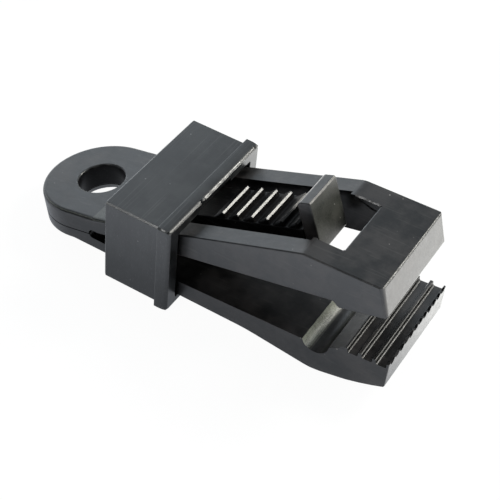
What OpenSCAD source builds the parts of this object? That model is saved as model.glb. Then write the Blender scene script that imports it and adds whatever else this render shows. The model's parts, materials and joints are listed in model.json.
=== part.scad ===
// Tarp clip with a rope eye, a ratchet tongue and a locking collar that squeezes the jaws shut.
// Millimetres, Z up. The jaws point along +X and the clip lies on the plane z = 0.
// Profiles are drawn with x = 0 at the collar's front face, and place() moves them to the frame.

/* [Collar] */
// Length of the collar along the jaws
collar_len = 14.8; // [13:0.1:16]
// Thickness of each side wall of the collar
collar_wall = 2.4; // [1.6:0.1:3.5]
// Thickness of the collar's floor
collar_floor = 1.0; // [0.8:0.1:2]
// Thickness of the collar's roof over the ratchet teeth
collar_roof = 0.9; // [0.7:0.1:2]
// Length of the raised rim at the collar's front end
rim_len = 2.8; // [1.5:0.1:5]
// How far the rim stands out from the collar
rim_proud = 0.7; // [0.4:0.05:1.2]
// Radius of the collar's long outer edges
collar_edge_r = 0.6; // [0.3:0.05:1.2]
// How far the collar slides from open to closed
collar_travel = 13; // [9:0.5:14]

/* [Jaws] */
// Width of both jaws and of the eye
jaw_w = 23.8; // [22:0.1:30]
// Distance from the collar's front face to the lower jaw's tip
jaw_reach = 44.1; // [42:0.1:47]
// Angle by which the jaws stand open
open_angle = 11; // [8:0.5:11.5]
// Thickness of the lower jaw where the collar runs
bar_t = 3.65; // [3:0.05:5]
// Height of the lower jaw's lip above the ground
lip_h = 10.8; // [10:0.1:11.5]
// Height of the lower jaw's tip at its underside
tip_rise = 4.9; // [3.5:0.1:6]
// Distance from the tip back to the lowest point of the lower jaw's belly
belly_back = 14.8; // [13:0.1:17]
// Height of the belly's lowest point
belly_z = 0.25; // [0.1:0.05:0.6]
// Radius of the bow from the belly up to the tip
bow_r = 52; // [30:1:90]
// Rise of the lower jaw's underside behind the collar
heel_rise = 1.3; // [0.8:0.1:1.8]
// Flat run of the lower jaw's underside past the collar's travel
bar_flat = 2.2; // [1:0.1:4]
// Distance ahead of the collar at which the lower jaw's top starts to rise
swell_from = 2; // [1:0.1:6]
// Slope of the biting faces when the jaws are shut
bite_slope = 5.5; // [3:0.5:7]
// Gap between the biting faces when the jaws are shut
bite_gap = 0.25; // [0.15:0.05:0.8]
// Thickness of the front lip
lip_t = 0.5; // [0.4:0.05:0.8]
// Flat stretch between the last grip groove and the ramp
land_flat = 0.4; // [0.2:0.05:1]
// Length of the ramp behind the biting land
ramp_len = 3.2; // [2.5:0.1:4]
// Drop of the ramp behind the biting land
ramp_drop = 2.25; // [1.5:0.05:2.8]
// Radius of the cross groove behind the ramp
cross_r = 2.75; // [2.4:0.05:3]
// Rise of the lower jaw's top on the way to the cross groove
jaw_swell = 1.25; // [0.6:0.05:1.6]
// Number of grip grooves in the land
grip_count = 3; // [2:1:3]
// Radius of each grip groove in the land
grip_r = 1.05; // [0.8:0.05:1.15]
// Spacing of the grip grooves
grip_pitch = 2.8; // [2.5:0.05:2.9]
// Spacing of the notches along the front lip
notch_pitch = 1.9; // [1.2:0.1:3]
// Width of each notch along the front lip
notch_w = 0.9; // [0.5:0.05:1.1]
// Depth of the notches along the front lip
notch_depth = 0.7; // [0.3:0.05:0.9]

/* [Upper jaw] */
// Slope of the rails' tops when the jaws are shut
rail_slope = 10.3; // [9.5:0.1:11]
// Distance of the rails' tops from the neck pivot, square to the rails
rail_rise = 1.78; // [1.6:0.01:2.2]
// Slope of the rails' undersides when the jaws are shut
under_slope = 2; // [1:0.25:3]
// Distance of the rails' undersides below the neck pivot
under_drop = 1.6; // [1.4:0.05:1.9]
// Length of the nose's top, from the bend to its front edge
nose_len = 15.45; // [14:0.05:17]
// Downward slope of the nose's top when the jaws are shut
nose_fall = 9; // [6:0.5:12]
// How far the nose's top front edge stops short of the lower jaw's tip when shut
nose_short = 1.9; // [1.2:0.1:4]
// How far the nose's front face leans out at its bottom
nose_lean = 0.7; // [0:0.1:1.5]
// Thickness of the nose ahead of the window
nose_wall = 9.9; // [8:0.1:10.5]
// How far the window runs back past the bend
window_lead = 0.5; // [0.2:0.1:1]
// Width of the window in the nose
window_w = 13.9; // [11:0.1:15]
// Thickness of the ledge beside the window
ledge_t = 1.8; // [1:0.1:3]
// Length of the slope up to the nose's biting pad
pad_ramp = 0.9; // [0.5:0.1:2]
// Radial clearance of the nose's ribs in the grip grooves
rib_gap = 0.3; // [0.2:0.05:0.5]
// How far the nose's ribs stop short of each side
rib_inset = 1.2; // [0.8:0.1:3]

/* [Ratchet] */
// Width of the ratchet tongue
tongue_w = 10; // [8:0.1:11]
// Thickness of the ratchet tongue
tongue_t = 2.4; // [2:0.1:2.8]
// Gap between the tongue and each rail
tongue_gap = 2.8; // [1:0.1:3.5]
// Number of ratchet teeth, fewer where the tongue is too short for them
tooth_count = 6; // [5:1:8]
// Spacing of the ratchet teeth
tooth_pitch = 3.22; // [2.6:0.02:3.3]
// Flat stretch between two ratchet teeth
tooth_flat = 0.55; // [0.3:0.05:0.8]
// Run of each tooth's steep face
tooth_steep = 0.25; // [0.1:0.05:0.5]
// How far the teeth stop short of each side of the tongue
tooth_inset = 0.4; // [0.2:0.05:1]
// Gap between the last tooth's crest and the release tab
tooth_clear = 1.1; // [0.8:0.1:2]
// Height of the teeth's crests over the rails
tooth_over = 0.85; // [0.5:0.05:1]
// How far the tongue's own top lies below the rails
tongue_sink = 0.3; // [0.1:0.05:0.8]
// Thickness of the release tab
tab_t = 2.8; // [2:0.1:3.2]
// Height of the release tab over the rails
tab_over = 5.5; // [3:0.1:7]
// Length of the release tab from top to bottom
tab_len = 10.7; // [9:0.1:12]
// Gap between the release tab's front and the bend
tab_gap = 0.25; // [0.1:0.05:1]
// How far the release tab stops short of each side of the tongue
tab_inset = 0.2; // [0.1:0.05:0.6]
// Radius of the release tab's rear top edge
tab_round_r = 0.9; // [0.4:0.1:1.2]
// Size of the bevel on the release tab's front top edge
tab_bevel = 0.57; // [0.2:0.01:0.9]
// Angle through which the tongue can be pressed down
press_angle = 7; // [3:0.5:8]

/* [Eye] */
// Diameter of the rope hole
hole_d = 9.4; // [6:0.1:12]
// Distance of the rope hole behind the collar's front face
eye_back = 25.4; // [25:0.1:28]
// Thickness of the upper eye plate
eye_upper_t = 3.94; // [3:0.02:5]
// Thickness of the lower eye plate
eye_lower_t = 2.36; // [2:0.02:2.5]
// Upward tilt of the eye towards the jaws
eye_tilt = 12; // [9:0.5:12.5]
// Distance of the crease on the eye's top behind the slot's end
crease_back = 0.4; // [0.2:0.1:1]
// Depth of the ring that locates the two eye plates
ring_depth = 0.9; // [0.5:0.05:1.2]
// Width of the ring that locates the two eye plates
ring_w = 1.5; // [1:0.1:2]

/* [Pivots] */
// Distance of the neck pivot behind the collar's front face
pivot_back = 11; // [10.5:0.1:11.5]
// Height of the neck pivot over the lower jaw's top
pivot_rise = 5.8; // [5.5:0.1:6.2]
// Radius of the upper jaw's knuckle at the neck pivot
knuckle_r = 1.9; // [1.6:0.05:2]
// Thickness of the socket round the neck knuckle
socket_wall = 1.1; // [0.8:0.05:1.4]
// Radius of the tongue's knuckle
root_r = 1.4; // [1.1:0.05:1.5]
// Thickness of the bar that the tongue's knuckle turns in
cross_bar = 2.05; // [1.5:0.05:2.5]
// Thickness of the webs behind the knuckles, as a share of their radii
web_share = 1.25; // [1:0.05:1.3]
// Length of the thin web between the tongue and its knuckle
web_len = 1.6; // [1.4:0.1:2.5]

/* [Fits] */
// Sliding clearance under and over the jaws in the collar
slide_gap = 0.15; // [0.1:0.05:0.4]
// Clearance between the jaws and the collar's side walls
side_gap = 0.7; // [0.3:0.05:1.2]
// Running clearance in the knuckles
run_gap = 0.06; // [0.03:0.01:0.1]
// Clearance round the upper jaw's rear end and the tongue's sides
turn_gap = 0.3; // [0.2:0.05:0.5]
// Radius of the round end of the slot between the halves
slot_r = 1.0; // [0.6:0.05:1.4]
// Distance of the slot's round end behind the collar's front face
slot_back = 19.7; // [18.5:0.1:20.5]

/* [Hidden] */
$fn = 96;
// How far cutters run past what they cut
cut = 1;
// Depth to which pieces that are fused run into each other
bury = 0.45;
// Spare swing in degrees past each knuckle's travel
neck_spare = 5;
root_spare = 12;
// Places at which the jaws' path through the collar is worked out
path_steps = 26;

// Heights of the lower half
bar_z = rim_proud + collar_floor + slide_gap;
bar_top = bar_z + bar_t;
slot_z = bar_top + slot_r;
eye_z = slot_z + tan(eye_tilt) * (slot_back - eye_back);
crease_x = -slot_back - crease_back;
function eye_seat(x) = eye_z + tan(eye_tilt) * (x + eye_back);
function eye_top(x) = eye_seat(x) + eye_upper_t / cos(eye_tilt);
function eye_under(x) = eye_seat(x) - eye_lower_t / cos(eye_tilt);
crease_past = slot_r + crease_back;
bar_root_x = -eye_back + 2 * bury;
pivot_x = -pivot_back;
pivot_z = bar_top + pivot_rise;
belly_x = jaw_reach - belly_back;
bow_chord = norm([belly_back, tip_rise - belly_z]);
bow_dir = atan2(tip_rise - belly_z, belly_back);
bow_sag = sqrt(pow(bow_r, 2) - pow(bow_chord / 2, 2));
bow_x = belly_x + belly_back / 2 - bow_sag * sin(bow_dir);
bow_z = (belly_z + tip_rise) / 2 + bow_sag * cos(bow_dir);
bar_bend_x = collar_travel + bar_flat;
function bite_z(x) = lip_h + tan(bite_slope) * (x - jaw_reach);
groove_xs = [for (i = [0:grip_count - 1]) jaw_reach - lip_t - grip_r - i * grip_pitch];
land_x = groove_xs[grip_count - 1] - grip_r - land_flat;
ramp_x = land_x - ramp_len;
ramp_z = bite_z(land_x) - ramp_drop;
cross_x = ramp_x - cross_r;
swell_z = bar_top + jaw_swell;
cross_z = (ramp_z + swell_z) / 2;

// Sizes of the upper half, measured from the neck pivot with the jaws shut
socket_r = knuckle_r + run_gap;
barrel_r = socket_r + socket_wall;
function rail_top(u) = rail_rise / cos(rail_slope) + u * tan(rail_slope);
function nose_top(u) = rail_top(bend_at) - (u - bend_at) * tan(nose_fall);
function under(u) = -under_drop + u * tan(under_slope);
function pad_w(u) = bite_z(u + pivot_x) + bite_gap - pivot_z;
nose_at = jaw_reach + pivot_back - nose_short;
nose_tip = nose_at + nose_lean;
bend_at = nose_at - nose_len;
window_at = nose_at - nose_wall;
pad_at = window_at + pad_ramp;
channel_w = tongue_w + 2 * tongue_gap;
root_socket_r = root_r + run_gap;
root_u = barrel_r + turn_gap + cross_bar + root_socket_r;
root_w = (rail_top(root_u) + under(root_u)) / 2;
root_web_t = web_share * root_r;
root_mouth = asin(root_web_t / 2 / root_r) + press_angle + root_spare;
channel_at = root_u + root_socket_r * cos(root_mouth);
window_start = bend_at - window_lead;
neck_mid = (rail_slope + under_slope) / 2;
web_t = web_share * knuckle_r;
mouth_far = 2 * barrel_r;
mouth_half = asin(web_t / 2 / knuckle_r) + open_angle / 2 + neck_spare;

// The tongue's own axes: p along the rails and q square to them, from the neck pivot
root_p = root_u * cos(rail_slope) + root_w * sin(rail_slope);
root_q = root_w * cos(rail_slope) - root_u * sin(rail_slope);
tongue_top = rail_rise - tongue_sink;
tab_p = bend_at - tab_gap - tab_t;
last_tooth_p = tab_p - tooth_clear;
web_end = root_p + root_r + web_len;
tooth_run = tooth_pitch - tooth_flat - tooth_steep;
tooth_from = (channel_at + tongue_top * sin(rail_slope)) / cos(rail_slope) + turn_gap;
teeth = min(tooth_count, floor((last_tooth_p - tooth_run - tooth_from) / tooth_pitch) + 1);

// Heights of the collar, from the highest point that the jaws reach at its mouth on the way shut
function lean(s) = rail_slope + open_angle * (1 - s / collar_travel);
function reach_z(s, over) = pivot_z + (rail_rise + over) / cos(lean(s)) + (s + pivot_back) * tan(lean(s));
function highest(over) = max([for (i = [0:path_steps]) reach_z(i * collar_travel / path_steps, over)]);
roof_z = highest(0) + slide_gap;
teeth_z = highest(tooth_over) + slide_gap;
collar_top = teeth_z + collar_roof;
collar_w = jaw_w + 2 * (side_gap + collar_wall);

// The frame's origin: the middle of the clip's length, on the ground
eye_r = jaw_w / 2;
rear_x = -eye_back - eye_upper_t * sin(eye_tilt) - eye_r * cos(eye_tilt);
mid_x = (rear_x + jaw_reach) / 2;

shell = "#2b2e30";
shell_dark = "#232628";
shell_grey = "#34383a";

module place() {
    translate([-mid_x, 0, 0]) children();
}

// Extrudes an x-z outline along Y, centred
module slab(w) {
    rotate([90, 0, 0]) linear_extrude(height = w, center = true) children();
}

// Moves to the plane where the two eye plates meet
module at_eye() {
    translate([-eye_back, 0, eye_z]) rotate([0, -eye_tilt, 0]) children();
}

// Moves an x-z outline drawn from the neck pivot, with the jaws shut, to the open jaw
module open_outline() {
    translate([pivot_x, pivot_z]) rotate(open_angle) children();
}

// The same for the tongue's own axes
module rail_outline() {
    open_outline() rotate(rail_slope) children();
}

module rounded_rect(w, h, r) {
    square([w - 2 * r, h], center = true);
    square([w, h - 2 * r], center = true);
    for (sx = [-1, 1], sy = [-1, 1])
        translate([sx * (w / 2 - r), sy * (h / 2 - r)]) circle(r);
}

// One eye plate from local height z0 to z1: a half disc with a straight run past the slot's end
module eye_blank(z0, z1, past) {
    run = (eye_back - slot_back) / cos(eye_tilt) + past;
    at_eye() translate([0, 0, z0]) {
        intersection() {
            cylinder(r = eye_r, h = z1 - z0);
            translate([-eye_r, -eye_r, 0]) cube([eye_r + bury, jaw_w, z1 - z0]);
        }
        translate([0, -eye_r, 0]) cube([run, jaw_w, z1 - z0]);
    }
}

module rope_hole() {
    at_eye() translate([0, 0, -eye_lower_t - cut])
        cylinder(d = hole_d, h = eye_lower_t + eye_upper_t + 2 * cut);
}

// The round end of the slot between the halves
module slot_end() {
    translate([-slot_back, slot_z]) circle(slot_r);
    translate([-slot_back, slot_z - slot_r]) square([4 * slot_r, 2 * slot_r]);
}

module lower_bar_outline() {
    difference() {
        intersection() {
            polygon([
                [bar_root_x, eye_under(bar_root_x) + bury], [-collar_len, bar_z + heel_rise],
                [pivot_x + knuckle_r, bar_z], [bar_bend_x, bar_z], [belly_x, belly_z],
                [jaw_reach, belly_z - cut], [jaw_reach, lip_h], [land_x, bite_z(land_x)],
                [ramp_x, ramp_z], [cross_x - cross_r, swell_z], [swell_from, bar_top],
                [-slot_back, bar_top], [bar_root_x, eye_seat(bar_root_x) - bury]]);
            union() {
                translate([-eye_back - cut, 0]) square([eye_back + belly_x + cut, lip_h + cut]);
                translate([bow_x, bow_z]) circle(bow_r, $fn = 180);
            }
        }
        translate([cross_x, cross_z]) circle(cross_r);
        for (x = groove_xs) translate([x, bite_z(x)]) circle(grip_r);
    }
}

module lip_notches() {
    count = floor((jaw_w - notch_pitch) / notch_pitch);
    half = notch_w / 2;
    for (i = [0:count - 1])
        translate([jaw_reach - lip_t - grip_r / 2, (i - (count - 1) / 2) * notch_pitch, lip_h])
            rotate([0, 90, 0])
                linear_extrude(height = lip_t + grip_r / 2 + cut)
                    polygon([[-cut, -half], [0, -half], [notch_depth, 0], [0, half], [-cut, half]]);
}

module lower_jaw() {
    color(shell) place() difference() {
        union() {
            eye_blank(-eye_lower_t, 0, 0);
            slab(jaw_w) lower_bar_outline();
        }
        slab(jaw_w + cut) slot_end();
        at_eye() translate([0, 0, -ring_depth - run_gap])
            cylinder(d = hole_d + 2 * (ring_w + run_gap), h = ring_depth + run_gap + cut);
        rope_hole();
        lip_notches();
    }
}

module neck_outline() {
    difference() {
        union() {
            polygon([
                [crease_x - bury, eye_top(crease_x - bury) - bury], [-slot_back, slot_z + slot_r / 2],
                [-slot_back + slot_r, slot_z + slot_r], [pivot_x, pivot_z - socket_r],
                [pivot_x, pivot_z + knuckle_r], [crease_x, eye_top(crease_x)]]);
            translate([pivot_x, pivot_z]) circle(barrel_r);
        }
        translate([pivot_x, pivot_z]) circle(socket_r);
        translate([pivot_x, pivot_z]) rotate(neck_mid + open_angle / 2)
            polygon([
                [0, 0], mouth_far * [cos(mouth_half), sin(mouth_half)], [1.5 * mouth_far, 0],
                mouth_far * [cos(mouth_half), -sin(mouth_half)]]);
    }
}

module upper_eye_plate() {
    color(shell) place() difference() {
        union() {
            eye_blank(0, eye_upper_t, crease_past);
            slab(jaw_w) neck_outline();
            at_eye() translate([0, 0, -ring_depth]) cylinder(d = hole_d + 2 * ring_w, h = ring_depth + cut);
        }
        slab(jaw_w + cut) slot_end();
        rope_hole();
    }
}

module upper_jaw_outline() {
    open_outline() {
        difference() {
            polygon([
                [socket_r, under(socket_r)], [window_at, under(window_at)], [pad_at, pad_w(pad_at)],
                [nose_tip, pad_w(nose_tip)], [nose_at, nose_top(nose_at)],
                [bend_at, rail_top(bend_at)], [socket_r, rail_top(socket_r)]]);
            circle(barrel_r + turn_gap);
        }
        circle(knuckle_r);
        rotate(neck_mid) translate([0, -web_t / 2]) square([barrel_r + turn_gap + 2 * bury, web_t]);
    }
}

// Cuts through the upper jaw between two places along it, over a width
module jaw_cut(from, to, w) {
    slab(w) open_outline() translate([from, -pivot_z]) square([to - from, pivot_z + rail_top(bend_at) + cut]);
}

// Hollows the nose under the ledges beside the window
module ledge_cut() {
    slab(channel_w) open_outline()
        polygon([
            [window_start - cut, -pivot_z], [window_at, -pivot_z], [window_at, nose_top(window_at) - ledge_t],
            [bend_at, rail_top(bend_at) - ledge_t], [window_start - cut, rail_top(bend_at) - ledge_t]]);
}

module upper_jaw() {
    color(shell) place() {
        difference() {
            slab(jaw_w) upper_jaw_outline();
            jaw_cut(channel_at, window_start, channel_w);
            jaw_cut(window_start - cut, window_at, window_w);
            ledge_cut();
            slab(tongue_w + 2 * turn_gap) open_outline() translate([root_u, root_w]) circle(root_socket_r);
        }
        for (i = [1:grip_count - 1])
            slab(jaw_w - 2 * rib_inset) open_outline()
                translate([groove_xs[i] - pivot_x, pad_w(groove_xs[i] - pivot_x)]) circle(grip_r - rib_gap);
    }
}

module tooth_outline(p) {
    polygon([
        [p - tooth_run, tongue_top - bury], [p - tooth_run, tongue_top], [p, rail_rise + tooth_over],
        [p + tooth_steep, tongue_top], [p + tooth_steep, tongue_top - bury]]);
}

module ratchet_tongue() {
    color(shell_dark) place() {
        slab(tongue_w) rail_outline() {
            translate([root_p, root_q]) circle(root_r);
            translate([root_p, root_q - root_web_t / 2]) square([web_end - root_p + bury, root_web_t]);
            translate([web_end, tongue_top - tongue_t]) square([tab_p - web_end, tongue_t]);
        }
        slab(tongue_w - 2 * tooth_inset) rail_outline()
            for (i = [0:teeth - 1]) tooth_outline(last_tooth_p - i * tooth_pitch);
    }
}

module release_tab() {
    top_q = rail_rise + tab_over;
    color(shell_grey) place() slab(tongue_w - 2 * tab_inset) rail_outline() difference() {
        union() {
            translate([tab_p, top_q - tab_len]) square([tab_t, tab_len - tab_round_r]);
            translate([tab_p + tab_round_r, top_q - tab_len]) square([tab_t - tab_round_r, tab_len]);
            translate([tab_p + tab_round_r, top_q - tab_round_r]) circle(tab_round_r);
        }
        translate([tab_p + tab_t, top_q]) rotate(45) square(sqrt(2) * tab_bevel, center = true);
    }
}

module locking_collar() {
    mid_z = (rim_proud + collar_top) / 2;
    body_h = collar_top - rim_proud;
    color(shell_grey) place() difference() {
        union() {
            translate([-collar_len, 0, mid_z]) rotate([90, 0, 90])
                linear_extrude(height = collar_len) rounded_rect(collar_w, body_h, collar_edge_r);
            translate([-rim_len, 0, mid_z]) rotate([90, 0, 90])
                linear_extrude(height = rim_len)
                    rounded_rect(collar_w + 2 * rim_proud, body_h + 2 * rim_proud, collar_edge_r);
        }
        translate([-collar_len - cut, -jaw_w / 2 - side_gap, rim_proud + collar_floor])
            cube([collar_len + 2 * cut, jaw_w + 2 * side_gap, roof_z - rim_proud - collar_floor]);
        translate([-collar_len - cut, -tongue_w / 2 - turn_gap, roof_z - cut])
            cube([collar_len + 2 * cut, tongue_w + 2 * turn_gap, teeth_z - roof_z + cut]);
    }
}

lower_jaw();
upper_eye_plate();
upper_jaw();
ratchet_tongue();
release_tab();
locking_collar();
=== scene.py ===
"""Looks of a tarp clip in black moulded plastic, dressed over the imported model."""

import json
import logging
import math
from dataclasses import dataclass
from enum import Enum
from typing import Any, Callable, Mapping, Optional, Sequence

import bmesh
import bpy
from mathutils import Matrix, Vector


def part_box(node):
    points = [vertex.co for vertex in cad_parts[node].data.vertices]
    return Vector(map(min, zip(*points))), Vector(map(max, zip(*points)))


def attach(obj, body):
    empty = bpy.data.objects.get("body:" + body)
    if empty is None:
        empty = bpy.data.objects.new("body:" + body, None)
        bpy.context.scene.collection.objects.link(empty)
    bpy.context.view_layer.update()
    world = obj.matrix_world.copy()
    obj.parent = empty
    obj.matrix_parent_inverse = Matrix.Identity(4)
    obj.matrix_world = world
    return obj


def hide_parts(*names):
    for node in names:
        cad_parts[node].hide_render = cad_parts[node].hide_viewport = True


for startup in ("Cube", "Light", "Camera"):
    if startup in bpy.data.objects:
        bpy.data.objects.remove(bpy.data.objects[startup])
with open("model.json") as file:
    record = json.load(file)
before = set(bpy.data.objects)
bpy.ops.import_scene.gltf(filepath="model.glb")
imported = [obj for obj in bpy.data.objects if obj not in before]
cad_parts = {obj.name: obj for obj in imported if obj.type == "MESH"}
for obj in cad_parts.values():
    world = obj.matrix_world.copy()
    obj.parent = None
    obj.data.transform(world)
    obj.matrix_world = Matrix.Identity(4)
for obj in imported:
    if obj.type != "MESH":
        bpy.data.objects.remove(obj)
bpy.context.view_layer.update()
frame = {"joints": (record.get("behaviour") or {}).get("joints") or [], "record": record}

MM = 0.001
# Corners closer than these, in millimetres, become one
WELD = 2e-4
SAME = 1e-5
# A smaller turn is no edge, and a larger one is shaded as a sharp edge
FLAT_DEGREES = 0.15
SHARP_DEGREES = 40.0
NORMAL_WEIGHT = 60
LOG = logging.getLogger("tarp_clip")

Point = tuple[float, float]
Colour = tuple[float, float, float, float]


class Body(Enum):
    """The bodies that the pieces ride on."""

    LOWER_HALF = "lower_half"
    UPPER_HALF = "upper_half"
    TONGUE = "tongue"
    COLLAR = "collar"


class Slot(Enum):
    """The record's material slots."""

    BODY = "body_plastic"
    COLLAR = "collar_plastic"


class Mix(Enum):
    """Ways of putting two solids together."""

    CUT = "DIFFERENCE"
    JOIN = "UNION"
    MEET = "INTERSECT"


@dataclass(frozen=True)
class Corner:
    """A corner of a flat outline and the radius that rounds it."""

    a: float
    b: float
    r: float = 0.0


def inset(corners: Sequence[Corner], depth: float) -> list[Corner]:
    """Moves each corner of a closed outline inwards, square to its edges, and fits its radius.

    Args:
        corners: The outline's corners, counter-clockwise.
        depth: How far the edges move.

    Returns:
        The moved corners.
    """
    if depth <= 0.0:
        return list(corners)
    moved: list[Corner] = []
    for k, here in enumerate(corners):
        last, coming = corners[k - 1], corners[(k + 1) % len(corners)]
        before = Vector((here.a - last.a, here.b - last.b)).normalized()
        after = Vector((coming.a - here.a, coming.b - here.b)).normalized()
        left, right = Vector((-before.y, before.x)), Vector((-after.y, after.x))
        way = (left + right) / max(1.0 + left.dot(right), 0.2)
        outward = before.x * after.y - before.y * after.x > 0
        r = max(here.r - depth, 1e-3) if outward else here.r + depth
        moved.append(Corner(here.a + way.x * depth, here.b + way.y * depth, r if here.r > 0.0 else 0.0))
    return moved


def rounded(corners: Sequence[Corner], step: float = 11.0) -> list[Point]:
    """Rounds the corners of a closed outline.

    Args:
        corners: The outline's corners, counter-clockwise.
        step: The largest turn in degrees between two points of a rounding.

    Returns:
        The points of the rounded outline.
    """
    points: list[Point] = []
    for index, corner in enumerate(corners):
        here = Vector((corner.a, corner.b))
        before = corners[index - 1]
        after = corners[(index + 1) % len(corners)]
        back = Vector((before.a, before.b)) - here
        ahead = Vector((after.a, after.b)) - here
        angle = back.angle(ahead)
        if corner.r <= 0.0 or angle > math.pi - 1e-3:
            points.append((here.x, here.y))
            continue
        reach = min(corner.r / math.tan(angle / 2), 0.49 * back.length, 0.49 * ahead.length)
        radius = reach * math.tan(angle / 2)
        middle = here + (back.normalized() + ahead.normalized()).normalized() * (radius / math.sin(angle / 2))
        arm = here + back.normalized() * reach - middle
        turn = math.pi - angle
        if ahead.x * back.y - ahead.y * back.x < 0:
            turn = -turn
        count = max(2, math.ceil(math.degrees(abs(turn)) / step))
        for k in range(count + 1):
            spun = Matrix.Rotation(turn * k / count, 2) @ arm
            points.append((middle.x + spun.x, middle.y + spun.y))
    return points


def arc(centre: Point, r: float, start: float, end: float, count: int) -> list[Corner]:
    """Lists the corners of an arc.

    Args:
        centre: The arc's centre.
        r: The arc's radius.
        start: The first angle in degrees.
        end: The last angle in degrees.
        count: The number of steps.

    Returns:
        The corners from the first angle to the last.
    """
    angles = [math.radians(start + (end - start) * k / count) for k in range(count + 1)]
    return [Corner(centre[0] + r * math.cos(a), centre[1] + r * math.sin(a)) for a in angles]


def ring(centre: Point, r: float, count: int) -> list[Corner]:
    """Lists the corners of a full circle, counter-clockwise."""
    return arc(centre, r, 0.0, 360.0, count)[:-1]


def turned(corners: Sequence[Corner], degrees: float, origin: Point) -> list[Corner]:
    """Turns corners by an angle and moves them from (0, 0) to a new origin."""
    c, s = math.cos(math.radians(degrees)), math.sin(math.radians(degrees))
    return [Corner(origin[0] + k.a * c - k.b * s, origin[1] + k.a * s + k.b * c, k.r) for k in corners]


def circle_hit(start: Point, end: Point, centre: Point, r: float) -> Point:
    """Finds where a line from start towards end first meets a circle.

    Args:
        start: The line's first point.
        end: A point that the line heads for.
        centre: The circle's centre.
        r: The circle's radius.

    Returns:
        The first point on the circle.
    """
    run = Vector(end) - Vector(start)
    arm = Vector(start) - Vector(centre)
    half = arm.dot(run) / run.length_squared
    share = -half - math.sqrt(max(half ** 2 - (arm.length_squared - r ** 2) / run.length_squared, 0.0))
    return (start[0] + share * run.x, start[1] + share * run.y)


@dataclass(frozen=True)
class Axes:
    """An origin and three directions in which an outline is drawn and extruded."""

    origin: Vector
    across: Vector
    up: Vector
    along: Vector

    def at(self, a: float, b: float, h: float) -> Vector:
        """Gives the point at (a, b) on the outline's plane and height h."""
        return self.origin + self.across * a + self.up * b + self.along * h


SIDE = Axes(Vector((0, 0, 0)), Vector((1, 0, 0)), Vector((0, 0, 1)), Vector((0, 1, 0)))
PLAN = Axes(Vector((0, 0, 0)), Vector((1, 0, 0)), Vector((0, 1, 0)), Vector((0, 0, 1)))
FRONT = Axes(Vector((0, 0, 0)), Vector((0, 1, 0)), Vector((0, 0, 1)), Vector((1, 0, 0)))


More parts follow.
